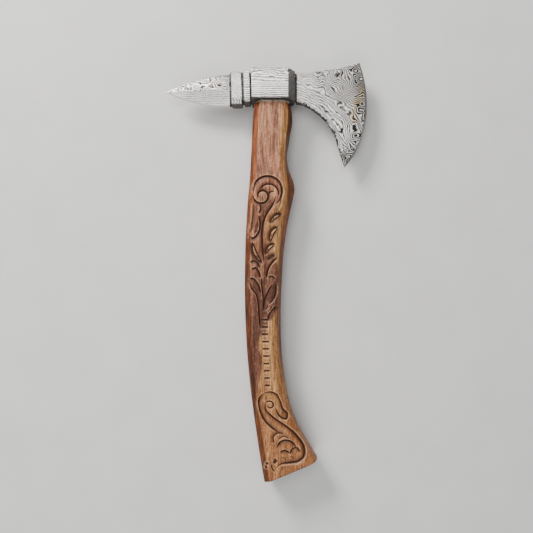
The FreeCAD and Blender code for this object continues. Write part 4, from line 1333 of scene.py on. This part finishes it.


# Colours of the wood from its dark bands to its pale ones: heartwood at the top of the handle and lower
# down, the lower one darker partly as painted shade where the light falls off, sapwood, the bevels along
# the back edge as a darker copy in painted shade, and the steep side as a darker copy in painted shade.
HEART = [
    (0.24, (0.110, 0.030, 0.013)),
    (0.40, (0.265, 0.092, 0.045)),
    (0.54, (0.540, 0.225, 0.112)),
    (0.72, (0.810, 0.405, 0.222)),
]
SHADED_DEEP_HEART = [(0.25, (0.060, 0.019, 0.012)), (0.5, (0.150, 0.052, 0.030)), (0.75, (0.290, 0.110, 0.060))]
SAP = [(0.25, (0.240, 0.078, 0.016)), (0.5, (0.560, 0.262, 0.090)), (0.75, (0.860, 0.500, 0.210))]
RIM = [(0.32, (0.050, 0.010, 0.002)), (0.5, (0.210, 0.044, 0.006)), (0.68, (0.420, 0.110, 0.020))]
SHADED_FLANK = [(0.32, (0.060, 0.012, 0.004)), (0.68, (0.400, 0.110, 0.030))]


def carved_wood():
    """Dark figured hardwood, oiled: streaks along the grain, pores, sapwood and cuts darkened with their
    depth, with painted shade in the scoops, on the bevels, on the steep side and lower down, and painted
    highlights on the crests.
    """
    m = Shader("handle_wood")
    slow = m.noise(m.place((1, 0.14, 1)), 0.07)
    bands = m.noise(m.place((1, 0.07, 0.8)), 0.26, 4.0, 0.62, 0.8)
    streaks = m.noise(m.place((1, 0.055, 1)), 0.75, 4.0, 0.7)
    fibre = m.noise(m.place((1, 0.05, 1)), 2.1, 4.0, 0.65)
    pores = m.noise(m.place((1, 0.13, 1)), 0.85, 3.0, 0.6)
    flecks = m.noise(m.place((1, 0.3, 1)), 0.6, 4.0, 0.7)
    axes = m.node("ShaderNodeSeparateXYZ", {"Vector": m.place()})
    down = m.math("ADD", axes.outputs[1], m.times(slow, 70.0))
    # Lower down, the heartwood and sapwood turn darker: partly their own colour, partly painted shade where
    # the light falls off towards the butt.
    heart = m.mix(m.range(down, -110.0, -175.0, 0.0, 0.92), m.ramp(bands, HEART), m.ramp(bands, SHADED_DEEP_HEART))
    low = m.times(m.range(down, -235.0, -300.0), 0.85)
    sap = m.tinted(low, m.ramp(bands, SAP), (0.74, 0.57, 0.53))
    colour = m.mix(m.attribute("sap"), heart, sap)
    # The bevels along the back edge: a darker copy of the wood as painted shade, darker still lower down
    # where the light falls off.
    rim = m.tinted(m.range(down, -95.0, -150.0, 0.0, 0.75), m.ramp(bands, RIM), (0.42, 0.50, 0.62))
    colour = m.mix(m.times(m.attribute("bevel"), 0.92), colour, rim)
    # The steep right side: a darker copy of the wood as painted shade.
    shaded_flank = m.tinted(m.range(down, -70.0, -25.0), m.ramp(bands, SHADED_FLANK), (0.42, 0.36, 0.36))
    colour = m.mix(m.times(m.attribute("shaded_flank"), 0.9), colour, shaded_flank)
    streak = m.times(m.range(streaks, 0.32, 0.62, 0.34, 1.0), m.range(fibre, 0.3, 0.7, 0.7, 1.0))
    specks = m.range(m.noise(m.place((1, 0.33, 1)), 1.25, 3.0, 0.65), 0.36, 0.62, 0.66, 1.26)
    for shading in (streak, specks):
        grey_level = m.node("ShaderNodeCombineColor", {0: shading, 1: shading, 2: shading})
        colour = m.mix(1.0, colour, grey_level.outputs[0], "MULTIPLY")
    pore = m.range(pores, 0.42, 0.34)
    colour = m.mix(m.times(pore, 0.6), colour, (0.050, 0.015, 0.007))
    sides = m.math("MAXIMUM", m.attribute("bevel"), m.attribute("shaded_flank"))
    plain = m.math("SUBTRACT", 1.0, sides, clamp=True)
    fleck = m.times(m.range(flecks, 0.56, 0.70, 0.0, 0.4), plain)
    colour = m.mix(fleck, colour, m.mix(0.5, colour, (0.95, 0.60, 0.32)))
    # Painted shade darkens the scoops and punched grounds.
    colour = m.mix(m.range(m.attribute("shade"), 0.12, 0.9, 0.0, 0.85), colour, (0.065, 0.019, 0.008))
    # Paler crests beside the cuts: wear and a painted highlight.
    colour = m.mix(m.times(m.attribute("crest"), 0.5), colour, (0.98, 0.62, 0.36))
    carve = m.attribute("carve")
    colour = m.mix(m.range(carve, 0.08, 0.65, 0.0, 0.95), colour, (0.026, 0.008, 0.003))
    m.surface.inputs["Specular IOR Level"].default_value = 0.28
    rough = m.line(carve, 0.3, m.line(fibre, 0.25, 0.30))
    return m.finish(colour, rough, m.math("SUBTRACT", m.times(fibre, 0.5), pore), 0.00016, 0.8)


def end_grain():
    """Pale hardwood seen on its end: short rays and pores."""
    m = Shader("wedge_wood")
    speck = m.noise(m.place(), 2.6)
    rings = m.noise(m.place((0.25, 1, 1)), 1.2)
    colour = m.ramp(rings, [(0.3, (0.30, 0.17, 0.075)), (0.7, (0.60, 0.41, 0.22))])
    colour = m.mix(m.range(speck, 0.42, 0.34, 0.0, 0.6), colour, (0.12, 0.06, 0.03))
    return m.finish(colour, m.line(speck, 0.2, 0.5), speck, 0.0001, 0.6)


def plain_steel():
    """Hammered steel of the driven wedges."""
    m = Shader("wedge_steel")
    dents = m.noise(m.place(), 0.5, 2.0)
    scratch = m.noise(m.place((4, 1, 0.4)), 1.5)
    m.surface.inputs["Metallic"].default_value = 1.0
    colour = m.ramp(dents, [(0.3, (0.22, 0.22, 0.22)), (0.7, (0.5, 0.5, 0.5))])
    return m.finish(colour, m.line(scratch, 0.3, 0.3), m.line(scratch, 0.2, dents), 0.0002, 0.6)


def bedding_resin():
    """Hardened resin mixed with wood dust: pale, rough and blotchy."""
    m = Shader("bedding_resin")
    blotch = m.noise(m.place(), 0.35, 4.0, 0.7)
    grit = m.noise(m.place(), 2.2)
    resin = [(0.32, (0.24, 0.16, 0.10)), (0.5, (0.56, 0.45, 0.34)), (0.7, (0.80, 0.70, 0.58))]
    colour = m.ramp(blotch, resin)
    colour = m.mix(m.range(grit, 0.45, 0.35, 0.0, 0.5), colour, (0.07, 0.04, 0.025))
    return m.finish(colour, m.line(grit, 0.2, 0.65), m.math("ADD", blotch, grit), 0.0004, 0.8)


def pale_floor():
    """A matt pale floor with a faint grain."""
    m = Shader("floor")
    mottle = m.noise(m.place(), 0.02)
    colour = m.ramp(mottle, [(0.3, (0.62, 0.615, 0.60)), (0.7, (0.66, 0.655, 0.64))])
    return m.finish(colour, m.line(mottle, 0.1, 0.75))


# ---------------------------------------------------------------- scene


def add_floor():
    """A pale floor just under the hatchet."""
    size = 8.0
    mesh = bpy.data.meshes.new("floor")
    corners = [(-size, -size, 0), (size, -size, 0), (size, size, 0), (-size, size, 0)]
    mesh.from_pydata(corners, [], [(0, 1, 2, 3)])
    mesh.materials.append(pale_floor())
    floor = bpy.data.objects.new("floor", mesh)
    bpy.context.scene.collection.objects.link(floor)


def add_light(name, place, target, size, power, colour=(1, 1, 1)):
    """A square soft light that faces a target."""
    data = bpy.data.lights.new(name, "AREA")
    data.shape = "SQUARE"
    data.size = size
    data.energy = power
    data.color = colour
    light = bpy.data.objects.new(name, data)
    light.location = place
    light.rotation_euler = (Vector(target) - Vector(place)).to_track_quat("-Z", "Y").to_euler()
    bpy.context.scene.collection.objects.link(light)


def add_lights():
    """A soft key from the upper left, a panel overhead, a low fill and an even pale surround."""
    middle = (0.0, -0.16, 0.02)
    add_light("key", (-0.85, 1.0, 0.85), middle, 0.55, 44.0, (1.0, 0.99, 0.97))
    add_light("overhead", (-0.1, 0.35, 1.5), middle, 0.9, 11.0)
    add_light("low", (-0.3, -1.1, 1.0), middle, 0.9, 8.0)
    world = bpy.data.worlds.new("studio")
    world.use_nodes = True
    background = world.node_tree.nodes["Background"]
    background.inputs["Color"].default_value = (0.97, 0.98, 1.0, 1)
    background.inputs["Strength"].default_value = 0.30
    bpy.context.scene.world = world


def add_camera():
    """Straight above the middle of the hatchet, with the head at the top of the frame."""
    data = bpy.data.cameras.new("camera")
    data.lens = 40.5
    data.sensor_width = 36.0
    camera = bpy.data.objects.new("camera", data)
    camera.location = (-0.0051, -0.182, 0.630)
    bpy.context.scene.collection.objects.link(camera)
    bpy.context.scene.camera = camera


STROKES = carved_strokes()

add_camera()
add_lights()
add_floor()

steel, wood = layered_steel(), carved_wood()
head = make_head(steel)
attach(head, "root")
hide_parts("axe_head")

handle = make_handle(wood)
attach(handle, "root")
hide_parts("handle")

wedge, steels = make_wedges(end_grain(), plain_steel())
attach(wedge, "root")
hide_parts("eye_wedge")
for piece in steels:
    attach(piece, "root")
    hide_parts("steel_wedges")

bedding = make_bedding(bedding_resin())
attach(bedding, "root")
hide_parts("eye_bedding")
